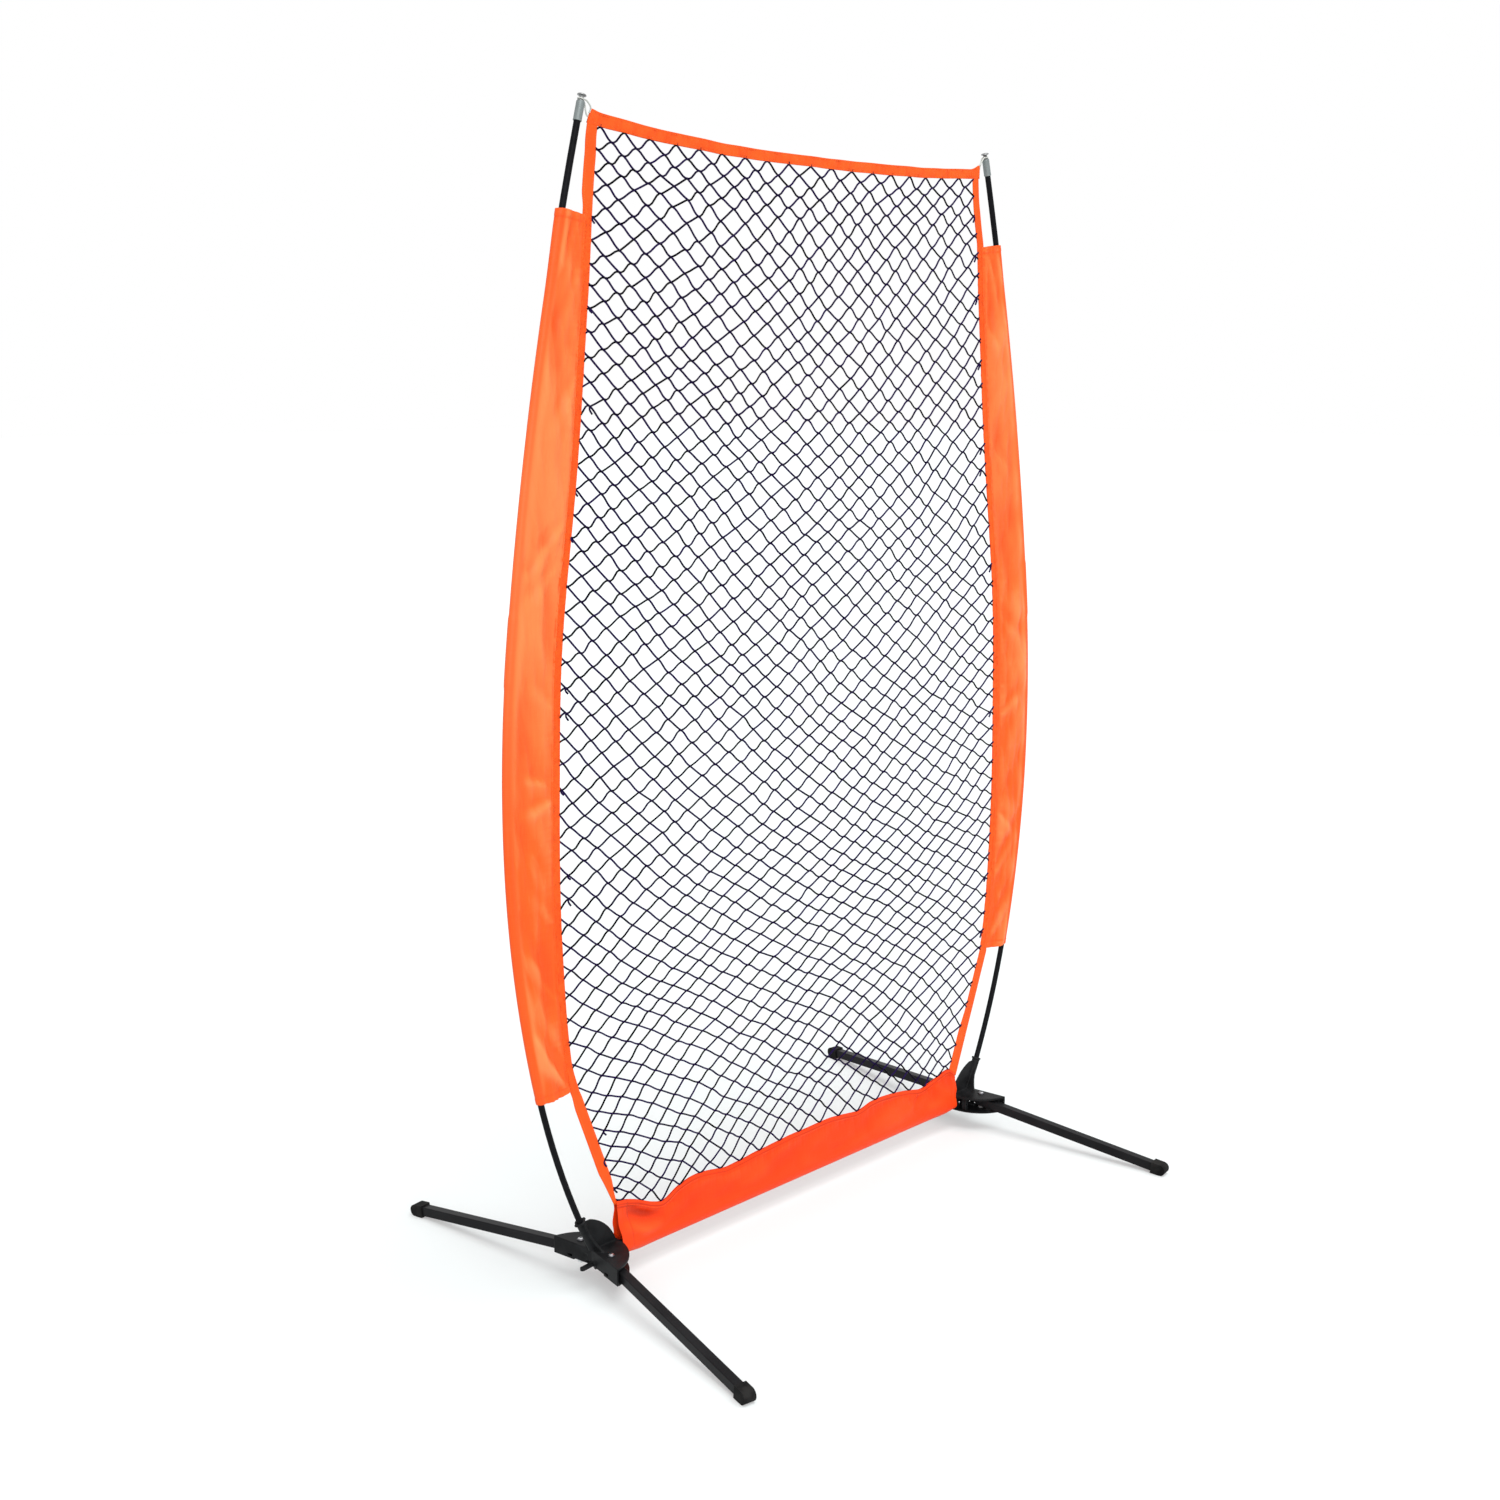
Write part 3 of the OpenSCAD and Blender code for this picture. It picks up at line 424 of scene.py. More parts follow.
def lay_of(b, place, axis_scale, body, pale, gloss=(0.22, 0.38), depth=0.00002):
    """Metal with the marks of how it was made, drawn out along one direction."""
    lines = b.mottle(place, axis_scale, 3.0, 0.6)
    cloud = b.mottle(place, 90.0, 3.0)
    return {"Base Color": b.blend(b.clamp(lines * 0.6 + cloud * 0.4, 0.3, 0.7), body, pale),
            "Roughness": b.clamp(cloud, 0.3, 0.7, *gloss), "Height": lines * depth + cloud * 0.00002}


def domed(b, place, body, pale, across, along):
    """Zinc-plated heads of upright bolts at (across, along): the socket and the rim painted dark as shade, the
    crown in the zinc's pale colour.
    """
    x, y, z = b.parts(place)
    reach = ((x.size() - across) ** 2.0 + (y.size() - along) ** 2.0) ** 0.5
    cloud = b.mottle(place, 900.0, 2.0)
    crown = b.clamp(reach, 0.0021, 0.0026) * b.clamp(reach, 0.0052, 0.0046)
    return {"Base Color": b.blend(crown * b.clamp(cloud, 0.3, 0.7, 0.7, 1.0), body, pale),
            "Roughness": b.clamp(cloud, 0.3, 0.7, 0.30, 0.42), "Height": cloud * 0.00002 - crown * 0.0002}


def braided(b, place, body, deep):
    """Elastic cord: a braided cover of small crossing bars, painted deeper between the bars as shade."""
    pitch = 0.0021
    along, around = b.field("along"), b.field("around")
    one = ((along / pitch + around * 4.0) * TAU).sine()
    two = ((along / pitch - around * 4.0) * TAU).sine()
    bars = one.most(two)
    return {"Base Color": b.blend(b.clamp(bars, -0.2, 0.8), deep, body),
            "Roughness": b.clamp(bars, 0, 1, 0.7, 0.55), "Height": bars * 0.00012}


CLOTH = {"Sheen Weight": 0.07, "Sheen Roughness": 0.45, "Sheen Tint": (1.0, 0.45, 0.18, 1),
         "Specular IOR Level": 0.19}
DULL = {"Specular IOR Level": 0.08}
MATT = {"Specular IOR Level": 0.03}
BOLT_AT = (0.550, 0.0445)  # a leg bolt's axis, measured each way from the middle

# Each satin's third colour is the painted highlight on fold ridges and at mid height, and also the slubs' tone;
# the fourth is the painted shade in the hollows; the next number is the share of painted light by height
ORANGE = finish_coat("orange_satin", satin, (0.97, 0.122, 0.012), (0.95, 0.100, 0.008), (1.0, 0.250, 0.075),
                     (0.88, 0.068, 0.006), 0.85, 0.7, **CLOTH)
RED_ORANGE = finish_coat("red_orange_satin", satin, (0.95, 0.053, 0.003), (0.92, 0.045, 0.002),
                         (1.0, 0.105, 0.015), (0.56, 0.024, 0.002), 0.0, 0.35, **CLOTH)
TAPE = finish_coat("orange_tape", ribbed, (0.97, 0.115, 0.010), (0.93, 0.088, 0.006), **CLOTH)
THREAD = finish_coat("orange_thread", ribbed, (1.0, 0.20, 0.045), (0.95, 0.14, 0.03), **CLOTH)
VIOLET, INK = (0.016, 0.006, 0.056), (0.0020, 0.0014, 0.0032)
TWINE_DOWN = finish_coat("twine_one", twisted, VIOLET, INK, **MATT)
TWINE_UP = finish_coat("twine_two", twisted, INK, VIOLET, **MATT)
KNOT = finish_coat("twine_knot", twisted, INK, (0.006, 0.004, 0.020), **MATT)
PLASTIC = finish_coat("hub_plastic", moulded, (0.0070, 0.0072, 0.0078), (0.030, 0.031, 0.033), **DULL)
PLATE = finish_coat("hub_plate", coated, (0.0065, 0.0065, 0.0073), (0.030, 0.030, 0.030), **DULL)
TUBE = finish_coat("leg_paint", coated, (0.0080, 0.0078, 0.0088), (0.028, 0.028, 0.030), **DULL)
RUBBER = finish_coat("cap_rubber", moulded, (0.0080, 0.0080, 0.0084), (0.030, 0.029, 0.028), 700.0, 0.00016,
                     (0.55, 0.72), **MATT)
ROD = finish_coat("pole_rod", lay_of, (900.0, 900.0, 5.0), (0.0050, 0.0050, 0.0058), (0.012, 0.012, 0.014),
                  (0.26, 0.36), 0.00003, **MATT)
ZINC = finish_coat("zinc_plate", lay_of, (260.0, 260.0, 260.0), (0.46, 0.47, 0.48), (0.70, 0.71, 0.72),
                   Metallic=1.0)
BOLT = finish_coat("bolt_zinc", domed, (0.10, 0.10, 0.11), (0.62, 0.63, 0.64), *BOLT_AT, Metallic=1.0)
STEEL = finish_coat("dark_steel", lay_of, (300.0, 300.0, 60.0), (0.16, 0.16, 0.17), (0.30, 0.30, 0.31),
                    Metallic=1.0)
FERRULE = finish_coat("ferrule_metal", lay_of, (500.0, 500.0, 14.0), (0.175, 0.20, 0.20),
                      (0.215, 0.24, 0.24), (0.42, 0.54), Metallic=0.3)
SILVER = finish_coat("silver_cap", lay_of, (500.0, 500.0, 500.0), (0.10, 0.10, 0.105), (0.34, 0.34, 0.34),
                     (0.22, 0.36), Metallic=0.8)
NYLON = finish_coat("grey_nylon", moulded, (0.16, 0.16, 0.165), (0.30, 0.30, 0.30), 900.0)
ELASTIC = finish_coat("white_elastic", braided, (0.70, 0.70, 0.66), (0.40, 0.40, 0.37))


# ---------------------------------------------------------------- mesh work
def put(name, mesh, *materials):
    piece = bpy.data.objects.new(name, mesh)
    bpy.context.scene.collection.objects.link(piece)
    for material in materials:
        mesh.materials.append(material)
    return piece


def settle(piece):
    """Turns what the modifiers make into the piece's own mesh."""
    graph = bpy.context.evaluated_depsgraph_get()
    mesh = bpy.data.meshes.new_from_object(
        piece.evaluated_get(graph), preserve_all_data_layers=True, depsgraph=graph)
    piece.modifiers.clear()
    piece.data = mesh
    return piece


def grid_mesh(name, place, flat, closed=False, caps=False, lift=None):
    """A mesh from rows of points, with the cloth's own flat coordinates as its UV map.
    closed joins each row round; lift says how far each point stands out, or lies in a hollow below nought, and
    the cloth finishes paint it as highlight and shade."""
    rows, cols = place.shape[:2]
    index = np.arange(rows * cols).reshape(rows, cols)
    right = np.roll(index, -1, axis=1) if closed else index[:, 1:]
    left = index if closed else index[:, :-1]
    quads = np.stack([left[:-1], right[:-1], right[1:], left[1:]], axis=-1).reshape(-1, 4)
    faces = quads.tolist()
    if caps:
        faces += [index[0, ::-1].tolist(), index[-1].tolist()]
    mesh = bpy.data.meshes.new(name)
    mesh.from_pydata(place.reshape(-1, 3).tolist(), [], faces)
    layer = mesh.uv_layers.new(name="cloth")
    corner = np.zeros(len(mesh.loops), np.int32)
    mesh.loops.foreach_get("vertex_index", corner)
    uv = flat.reshape(-1, 2)[corner]
    if closed:
        girth = np.linalg.norm(place[0] - np.roll(place[0], 1, axis=0), axis=1).sum()
        wrap = np.zeros(len(corner), bool)
        wrap[:len(quads) * 4] = np.tile(np.array([0, 1, 1, 0], bool), len(quads)) & np.repeat(
            np.tile(np.arange(cols) == cols - 1, rows - 1), 4)
        uv[wrap, 0] += girth
    layer.data.foreach_set("uv", uv.astype(np.float32).ravel())
    if lift is not None:
        field = mesh.attributes.new("lift", "FLOAT", "POINT")
        field.data.foreach_set("value", np.clip(lift, -1, 1).astype(np.float32).ravel())
    mesh.shade_smooth()
    mesh.validate()
    return mesh


def worked(mesh, operation):
    """Runs an editing operation on a mesh."""
    work = bmesh.new()
    work.from_mesh(mesh)
    operation(work)
    work.to_mesh(mesh)
    work.free()
    return mesh


def faces_out(mesh):
    return worked(mesh, lambda w: bmesh.ops.recalc_face_normals(w, faces=w.faces))


def line_mesh(name, lines):
    """Loose edge chains from lists of points."""
    points, edges = [], []
    for line in lines:
        start = len(points)
        points += [tuple(map(float, p)) for p in line]
        edges += [(start + k, start + k + 1) for k in range(len(line) - 1)]
    mesh = bpy.data.meshes.new(name)
    mesh.from_pydata(points, edges, [])
    return mesh


def group(name, sizes):
    """A geometry group with named inputs for its sizes: its bench, the incoming shape and the inputs."""
    tree = bpy.data.node_groups.new(name, "GeometryNodeTree")
    tree.interface.new_socket("Shape", in_out="INPUT", socket_type="NodeSocketGeometry")
    kinds = {float: "NodeSocketFloat", int: "NodeSocketInt"}
    for label, value in sizes.items():
        tree.interface.new_socket(label, in_out="INPUT", socket_type=kinds[type(value)]).default_value = value
    tree.interface.new_socket("Shape", in_out="OUTPUT", socket_type="NodeSocketGeometry")
    bench = Bench(tree)
    shape, *inputs = bench.outputs("NodeGroupInput")
    return bench, shape, inputs[:len(sizes)]


def close_group(bench, shape, material):
    """The end of every group: smooth, made real, and painted."""
    shape = bench.add("GeometryNodeSetShadeSmooth", {"Geometry": shape})
    shape = bench.add("GeometryNodeRealizeInstances", {"Geometry": shape})
    shape = bench.add("GeometryNodeSetMaterial", {"Geometry": shape, "Material": material})
    bench.add("NodeGroupOutput", [shape])
    return bench.tree


def cord_group(material):
    """Sweeps a round section along every edge chain, and keeps how far along and around each point is."""
    b, shape, (thick, sides) = group("swept_" + material.name, {"Thickness": 0.002, "Sides": 6})

    def keep(curve, name, measure):
        value = b.add("GeometryNodeSplineParameter", {}, measure)
        return b.add("GeometryNodeStoreNamedAttribute", {"Geometry": curve, "Name": name, "Value": value},
                     data_type="FLOAT", domain="POINT")
    line = keep(b.add("GeometryNodeMeshToCurve", {"Mesh": shape}), "along", "Length")
    ring = keep(b.add("GeometryNodeCurvePrimitiveCircle", {"Resolution": sides, "Radius": thick / 2.0},
                      mode="RADIUS"), "around", "Factor")
    swept = b.add("GeometryNodeCurveToMesh", {"Curve": line, "Profile Curve": ring, "Fill Caps": True})
    return close_group(b, swept, material)


def knot_group(material):
    """A small lump of two crossed wraps on every point, each turned a little its own way."""
    b, shape, (size, seed) = group("tied_" + material.name, {"Size": KNOT_R, "Seed": 7})
    wraps = []
    for turn in (0.62, -0.62):
        ball = b.add("GeometryNodeMeshUVSphere", {"Segments": 6, "Rings": 3, "Radius": size})
        wraps.append(b.add("GeometryNodeTransform", {"Geometry": ball, "Rotation": (0.0, turn, 0.0),
                                                     "Scale": (0.66, 0.80, 1.15)}))
    lump = b.add("GeometryNodeJoinGeometry", [wraps])
    spots = b.add("GeometryNodeMeshToPoints", {"Mesh": shape})
    spin = b.add("FunctionNodeRandomValue", {"Min": (-.35, -.5, -.35), "Max": (.35, .5, .35), "Seed": seed},
                 data_type="FLOAT_VECTOR")
    tied = b.add("GeometryNodeInstanceOnPoints", {"Points": spots, "Instance": lump, "Rotation": spin})
    return close_group(b, tied, material)


def stitch_group(material):
    """Short threads laid end to end along every edge chain, with a small gap between them."""
    b, shape, (pitch, length, thick, seed) = group("sewn_" + material.name, {
        "Pitch": 0.0042, "Stitch Length": 0.0031, "Thread": 0.0006, "Seed": 3})
    line = b.add("GeometryNodeMeshToCurve", {"Mesh": shape})
    line = b.add("GeometryNodeResampleCurve", {"Curve": line, "Length": pitch}, mode="LENGTH")
    way = b.add("FunctionNodeAlignRotationToVector", {"Vector": b.add("GeometryNodeInputTangent")}, axis="X")
    ball = b.add("GeometryNodeMeshUVSphere", {"Segments": 6, "Rings": 3, "Radius": 0.5})
    long = b.add("ShaderNodeCombineXYZ", [length, thick, thick])
    jitter = b.add("FunctionNodeRandomValue", {2: 0.9, 3: 1.1, "Seed": seed}, 1, data_type="FLOAT")
    size = b.add("ShaderNodeVectorMath", {0: long, "Scale": jitter}, operation="SCALE")
    sewn = b.add("GeometryNodeInstanceOnPoints", {"Points": line, "Instance": ball, "Rotation": way,
                                                  "Scale": size})
    return close_group(b, sewn, material)


def grow(name, mesh, tree, **sizes):
    """Runs a geometry group on a mesh and keeps the result as a plain mesh."""
    piece = put(name, mesh)
    run = piece.modifiers.new("make", "NODES")
    run.node_group = tree
    for item in tree.interface.items_tree:
        label = item.name.replace(" ", "_").lower()
        if item.in_out == "INPUT" and label in sizes:
            run[item.identifier] = sizes[label]
    return settle(piece)


# ---------------------------------------------------------------- netting
# How the pulled net stretches: Chebyshev terms, by power across and by power down, in mm
NET_ACROSS = np.array([[-26.6, -8.8, 7.7, 4.9, -0.3, -2.8, 2.9], [5.8, 1.0, 26.4, -1.2, -12.9, 1.1, 10.1],
                       [-1.2, 10.2, -7.0, -4.5, 0.9, -1.3, 0.9], [-5.4, -7.6, -3.1, -0.7, -4.9, -0.4, -5.7],
                       [-1.5, -2.8, -3.2, -2.0, -1.8, 0.0, -0.1]])
NET_DOWN = np.array([[1097.1, -981.2, 6.7, -1.4, -5.6, -3.1, 0.0], [-14.3, 5.0, 17.1, -6.1, -6.9, 2.8, -0.4],
                     [11.3, -5.3, -8.1, 11.8, 5.6, 9.6, 2.8], [1.0, 0.1, -0.4, 0.3, -0.8, 0.6, 0.5],
                     [0.9, 2.9, 2.4, 2.3, 2.1, 2.6, 1.4]])
STEADY = 0.86     # how far across the outermost whole meshes lie
SEWN = .0015      # how far twine runs on past the inner edge of a side band


def stretch(table, p, q):
    """The value of a table of terms in metres, carried on straight past the outermost whole meshes."""
    held = max(-STEADY, min(STEADY, p))
    value = np.polynomial.chebyshev.chebval2d(held, q, table)
    if held != p:
        inner = held - math.copysign(0.1, held)
        value += (value - np.polynomial.chebyshev.chebval2d(inner, q, table)) * (p - held) / (held - inner)
    return value / 1000


def knots():
    """The place of every knot, by row and by meshes from the left; some lie past the side bands."""
    rng = np.random.default_rng(41)
    places = {}
    for j in range(ROWS + 1):
        q = 2 * j / ROWS - 1
        for u in np.arange(-2, ACROSS + 3) + (0 if j % 2 else 0.5):
            p = -1 + 2 * u / ACROSS
            z = stretch(NET_DOWN, p, q)
            x = float(edge_x(max(z, HEM_Z))) * (p + stretch(NET_ACROSS, p, q))
            z += 0.0026 * ripples(x, z, .43, .43, 61, 24) + rng.normal() * .0011
            x += 0.0022 * ripples(x, z, .43, .43, 62, 24) + rng.normal() * .0011
            if j < 5:
                z += (float(top_z(x)) - .001 - stretch(NET_DOWN, p, -1)) * (1 - j / 5)
            if j > ROWS - 7:
                z += (float(hem_z(x)) - stretch(NET_DOWN, p, 1)) * (1 - (ROWS - j) / 7)
            if j in (0, ROWS):
                z = float(top_z(x) if j == 0 else hem_z(x))
            places[j, float(u)] = np.array([x, rng.normal() * .0007 * (0 < j < ROWS), z])
    return places


def past_band(place):
    """How far a point of the net lies past the stitched edge of its side band."""
    return abs(place[0]) - float(band_x(place[0], place[2])) - SEWN


def within(place):
    return past_band(place) < 0


def sewn_end(a, b):
    """The point between a and b where the twine goes into the side band."""
    t = past_band(a) / (past_band(a) - past_band(b))
    return a + t * (b - a)


LATTICE = knots()
KNOTS = {key: place for key, place in LATTICE.items() if within(place)}


def bar(a, b, side, rng):
    """One side of a mesh, leaving each knot flat and steep in the middle."""
    t = np.linspace(0, 1, 7)
    z = (a[2] + b[2]) / 2
    lean = np.clip(((a[0] + b[0]) / 2) * side / 0.6, -1, 1)
    swing = np.interp(z, [.14, .45, .8, 1.4, 2.06], [.0018, .0016, .0022, .0029, .0031])
    swing *= (1 + 0.55 * lean) * rng.uniform(0.0, 1.25) * 0.85
    line = a + np.outer(t, b - a)
    line[:, 2] += swing * np.sin(TAU * t)
    line[:, 1] += 0.0007 * side * np.sin(math.pi * t)
    return line


def strands(side):
    """Every strand of one family, from edge to edge: side 1 runs down to the right, -1 down to the left."""
    rng = np.random.default_rng(12 + side)
    lines = []
    for (j, u) in LATTICE:
        if (j - 1, u - side * 0.5) in LATTICE:
            continue
        line = []
        while (j + 1, u + side * 0.5) in LATTICE:
            line += list(bar(LATTICE[j, u], LATTICE[j + 1, u + side * 0.5], side, rng)[1 if line else 0:])
            j, u = j + 1, u + side * 0.5
        run, before = [], None
        for point in line + [None]:
            inside = point is not None and within(point)
            if before is not None and point is not None and inside != within(before):
                run.append(sewn_end(before, point))
            if inside:
                run.append(point)
            else:
                if len(run) > 1:
                    lines.append(run)
                run = []
            before = point
    for line in lines:
        if line[0][2] > float(top_z(line[0][0])) - .004:
            line.insert(0, line[0] + [-side * 0.001, 0, 0.004])
        if line[-1][2] < float(hem_z(line[-1][0])) + .004:
            line.append(line[-1] + [side * 0.0015, 0, -0.004])
    return lines


def edge_tails(side):
    """Loose ends of twine that stick out where the net was cut and sewn in."""
    rng = np.random.default_rng(90 + side)
    lines = []
    for (j, u), p in KNOTS.items():
        if not 0 < j < ROWS or p[0] * side < float(band_x(side, p[2])) - .022 or rng.uniform() > .30:
            continue
        t = np.linspace(0, 1, 7)
        tail = p + np.outer(t, [side * -.002, 0, -rng.uniform(.006, .014)])
        tail[:, 0] += side * .002 * np.sin(4.0 * t)
        tail[:, 1] -= .0012 * t
        lines.append(tail)
    return lines


def make_netting():
    """The two families of strands, and the knots where they cross."""
    made = [grow("netting_" + way + "_strands", line_mesh(way, strands(side) + edge_tails(-side)),
                 cord_group(twine), thickness=TWINE_D, sides=6)
            for way, side, twine in (("down", 1, TWINE_DOWN), ("up", -1, TWINE_UP))]
    spots = bpy.data.meshes.new("spots")
    spots.from_pydata([tuple(map(float, p)) for p in KNOTS.values()], [], [])
    return made + [grow("netting_knots", spots, knot_group(KNOT), size=KNOT_R, seed=7)]


# ---------------------------------------------------------------- sewn pieces
# Folds: start and end (distance from the middle, height), width, how far they stand out
LEFT_FOLDS = [
    ((.612, .412), (.684, .492), .010, .0034), ((.618, .420), (.716, .556), .012, .0036),
    ((.604, .440), (.655, .560), .010, .0022), ((.623, .575), (.709, .680), .011, .0024),
    ((.612, .600), (.717, .692), .009, .0018), ((.612, .700), (.700, .805), .010, .0016),
    ((.592, 1.428), (.680, 1.322), .011, .0030), ((.600, 1.36), (.690, 1.270), .012, .0016),
    ((.640, .977), (.700, .992), .009, .0026), ((.625, .950), (.700, .922), .010, .0026),
    ((.618, 1.10), (.690, 1.16), .011, .0014), ((.552, 1.925), (.585, 1.790), .008, .0022),
    ((.570, 1.930), (.600, 1.820), .007, .0018), ((.545, 1.860), (.600, 1.700), .010, .0018),
    ((.550, 1.680), (.618, 1.560), .010, .0018)]
RIGHT_FOLDS = [
    ((.548, 1.928), (.585, 1.800), .009, .0030), ((.543, 1.900), (.560, 1.740), .008, .0022),
    ((.560, 1.780), (.610, 1.640), .011, .0018), ((.566, 1.560), (.640, 1.450), .010, .0020),
    ((.612, 1.180), (.690, 1.090), .011, .0018), ((.630, .930), (.705, .985), .010, .0020),
    ((.625, .720), (.700, .640), .010, .0020), ((.612, .415), (.690, .520), .011, .0032),
    ((.606, .430), (.668, .560), .010, .0022), ((.622, .560), (.705, .660), .010, .0018)]
HEM_FOLDS = [
    ((-.452, .126), (-.400, .101), .0045, .0020), ((-.376, .108), (-.343, .104), .0040, -.0016),
    ((-.392, .112), (-.352, .098), .0050, .0016), ((-.470, .140), (-.425, .113), .0040, .0014),
    ((.374, .112), (.340, .088), .007, .0020), ((.392, .116), (.440, .128), .005, .0012),
    ((.205, .130), (.165, .080), .012, .0008)]
# Broad hollows and swells of the whole bottom sleeve, also painted deeper and paler as shade and highlight:
# depth, start, end, width
HEM_VALLEYS = [
    (.0085, (-.468, .118), (-.388, .086), .0095), (-.0042, (-.476, .096), (-.420, .066), .010),
    (.0035, (.350, .100), (.398, .108), .009), (-.0040, (.430, .118), (.478, .088), .014)]


def cloth_wall(piece, thick):
    """Gives a sheet of cloth its thickness, inwards from the face that was drawn."""
    wall = piece.modifiers.new("cloth", "SOLIDIFY")
    wall.thickness, wall.offset = thick, -1
    settle(piece)
    faces_out(piece.data)
    return piece


def side_sleeve(side, folds, seed):
    """The tube of cloth that a pole runs in: flat panels from the band, drawn round the pole."""
    # Rows w run up the sleeve; along a row the front panel goes out, the turn goes round the pole
    # and the back panel comes in. share is how far out a point is, face its side, past how far round.
    ends = np.concatenate([[0, .0012, .0026], np.arange(.0052, .016, .0018)])
    high = SLEEVE_HIGH - (.004 if side < 0 else 0)
    length = high - SLEEVE_LOW
    middle = np.arange(.020, length - .018, .0048)
    w = np.concatenate([ends, middle, length - ends[::-1]]) / length
    panel = np.concatenate([[0, .025, .05, .075], np.linspace(.105, 1, 30)])
    turn = np.linspace(-math.pi / 2, math.pi / 2, 13)[1:-1]
    r = POLE_R + 0.0013
    share = np.concatenate([panel, np.ones(len(turn)), panel[::-1]])
    face = np.concatenate([-np.ones(len(panel)), np.sin(turn), np.ones(len(panel))])
    past = np.concatenate([np.zeros(len(panel)), np.cos(turn), np.zeros(len(panel))])
    W, S = np.meshgrid(w, share, indexing="ij")
    F, P = np.meshgrid(w, face, indexing="ij")[1], np.meshgrid(w, past, indexing="ij")[1]
    z = SLEEVE_LOW + length * W
    # The two open ends slant, and dip between the seam and the pole
    tilt = np.where(W < .5, -.003 * np.sin(S * math.pi) + .0035 * (1 - S), 0) * smooth((.03 - W) / .03)
    tilt += (-.0070 * (1 - S)) * smooth((W - .97) / .03)
    z = z + tilt
    seam, pole = edge_x(z) + BAND_W - .006, bow_x(z)
    x = seam + (pole - seam) * S
    off = x - seam
    # Half the thickness of the tube where it is drawn tight, then how loose it is there
    taut = .0007 + (r - .0007) * smooth(off / .010) * (0.14 + 0.86 * smooth((S - .02) / .98) ** 0.9)
    free = smooth(off / .014) * smooth((1 - S) / .16)
    broad = .0024 * ripples(x, z, .10, .45, seed + 31) + .0012 * ripples(x, z, .05, .15, seed + 32)
    slack = 1.5 * sum(crease(x, z, *fold) for fold in folds)
    sway = broad * smooth(off / .03) * smooth((1 - S) / .25)
    low, top = z - tilt - SLEEVE_LOW, high - z + tilt
    # The lift paints light and shade on the cloth: paler where the panels swell out, deeper in their hollows
    lift = F * broad * free * 70
    # Each panel has ripples, slack lines, puckers at the seam and gathers at the ends of its own
    for turned in (-1, 1):
        own = np.where(F * turned > 0, 1.0, 0.0) * np.abs(F)
        d = .0013 * ripples(x, z, .11, .55, seed + turned) + .0009 * ripples(x, z, .045, .16, seed + 5 + turned)
        d += .0016 * np.exp(-np.abs(ripples(x, z, .05, .22, seed + 9 + turned)) * 5)
        d += .0012 * ripples(0, z, 1, .012, seed + 13 + turned) * np.exp(-off / .012)
        d += .0009 * ripples(x, 0, .020, 1, seed + 17) * (np.exp(-low / .03) + np.exp(-top / .03))
        if turned < 0:
            d = d + slack
        d = np.maximum(d * free, -.55 * taut)
        lift = lift + own * d * 140
        taut = taut + own * d
    loose = 1 + 0.25 * smooth((z - 1.86) / .09)
    hem = .0006 * (smooth((.0125 - low) / .0015) + smooth((.0125 - top) / .0015))
    # Painted shade along the hem lines at both ends and along the seam beside the band; a painted highlight
    # band near the pole and painted shade where the cloth turns round it
    for edge in (low, top):
        lift = lift - 0.5 * bell(edge - .0135, .0016)
    lift = lift - 0.5 * bell(off - .0045, .0018) * (1 + .5 * ripples(0, z, 1, .008, seed + 19))
    lift = lift + 0.45 * bell(S - .86, .07) - 0.45 * smooth((S - .90) / .1)
    # The pole's joint shows through as a slight swelling
    over = .0010 * smooth((.066 - np.abs(z - BENDS[3][1])) / .012)
    y = F * (taut + hem + over * smooth((S - .9) / .1)) * np.where(P > 0, loose, 1) + sway
    x = x + P * (r + hem + over + (.004 * smooth((z - 1.80) / .15) if side < 0 else 0))
    place = joined(side * x, y, z)
    girth = run_along(place[len(w) // 2])
    flat = joined(girth, z)
    if side < 0:
        place, flat, lift = place[:, ::-1], flat[:, ::-1], lift[:, ::-1]
    name = WORDS[side] + "_sleeve_cloth"
    mesh = grid_mesh(name, place[::-1], flat[::-1], lift=lift[::-1])
    return cloth_wall(put(name, mesh, ORANGE), SLEEVE_CLOTH)


def tape(name, line, out, width, half, wrinkle):
    """A strip of folded tape: line is its inner edge, out the way its width runs, half its half thickness and
    wrinkle(along, across) its puckers."""
    corner = .0012
    ring = [(corner * (1 - math.sin(a)), -half + corner * (1 - math.cos(a)))
            for a in np.linspace(math.pi / 2, 0, 4)]
    ring += [(t * width, -half) for t in np.linspace(.12, .88, 12)]
    ring += [(width - p, q) for p, q in ring[:4][::-1]]
    ring += [(p, -q) for p, q in ring[::-1]]
    ring = np.array(ring)
    along = run_along(line)
    A, B = ring[:, 0], ring[:, 1]
    push = wrinkle(along[:, None], A[None, :]) * np.where(np.abs(B) > half * .8, 1, .2)[None, :]
    place = line[:, None, :] + out[:, None, :] * A[None, :, None]
    place[..., 1] += B[None, :] + np.sign(B)[None, :] * push
    flat = joined(run_along(ring)[None, :], along[:, None])
    # The lift paints the tape paler on its puckers and the seam's ridge and deeper in its stitch rows and
    # hollows, as painted light and shade
    mesh = grid_mesh(name, place, flat, closed=True, caps=True, lift=push / .0012)
    return put(name, faces_out(mesh), TAPE)


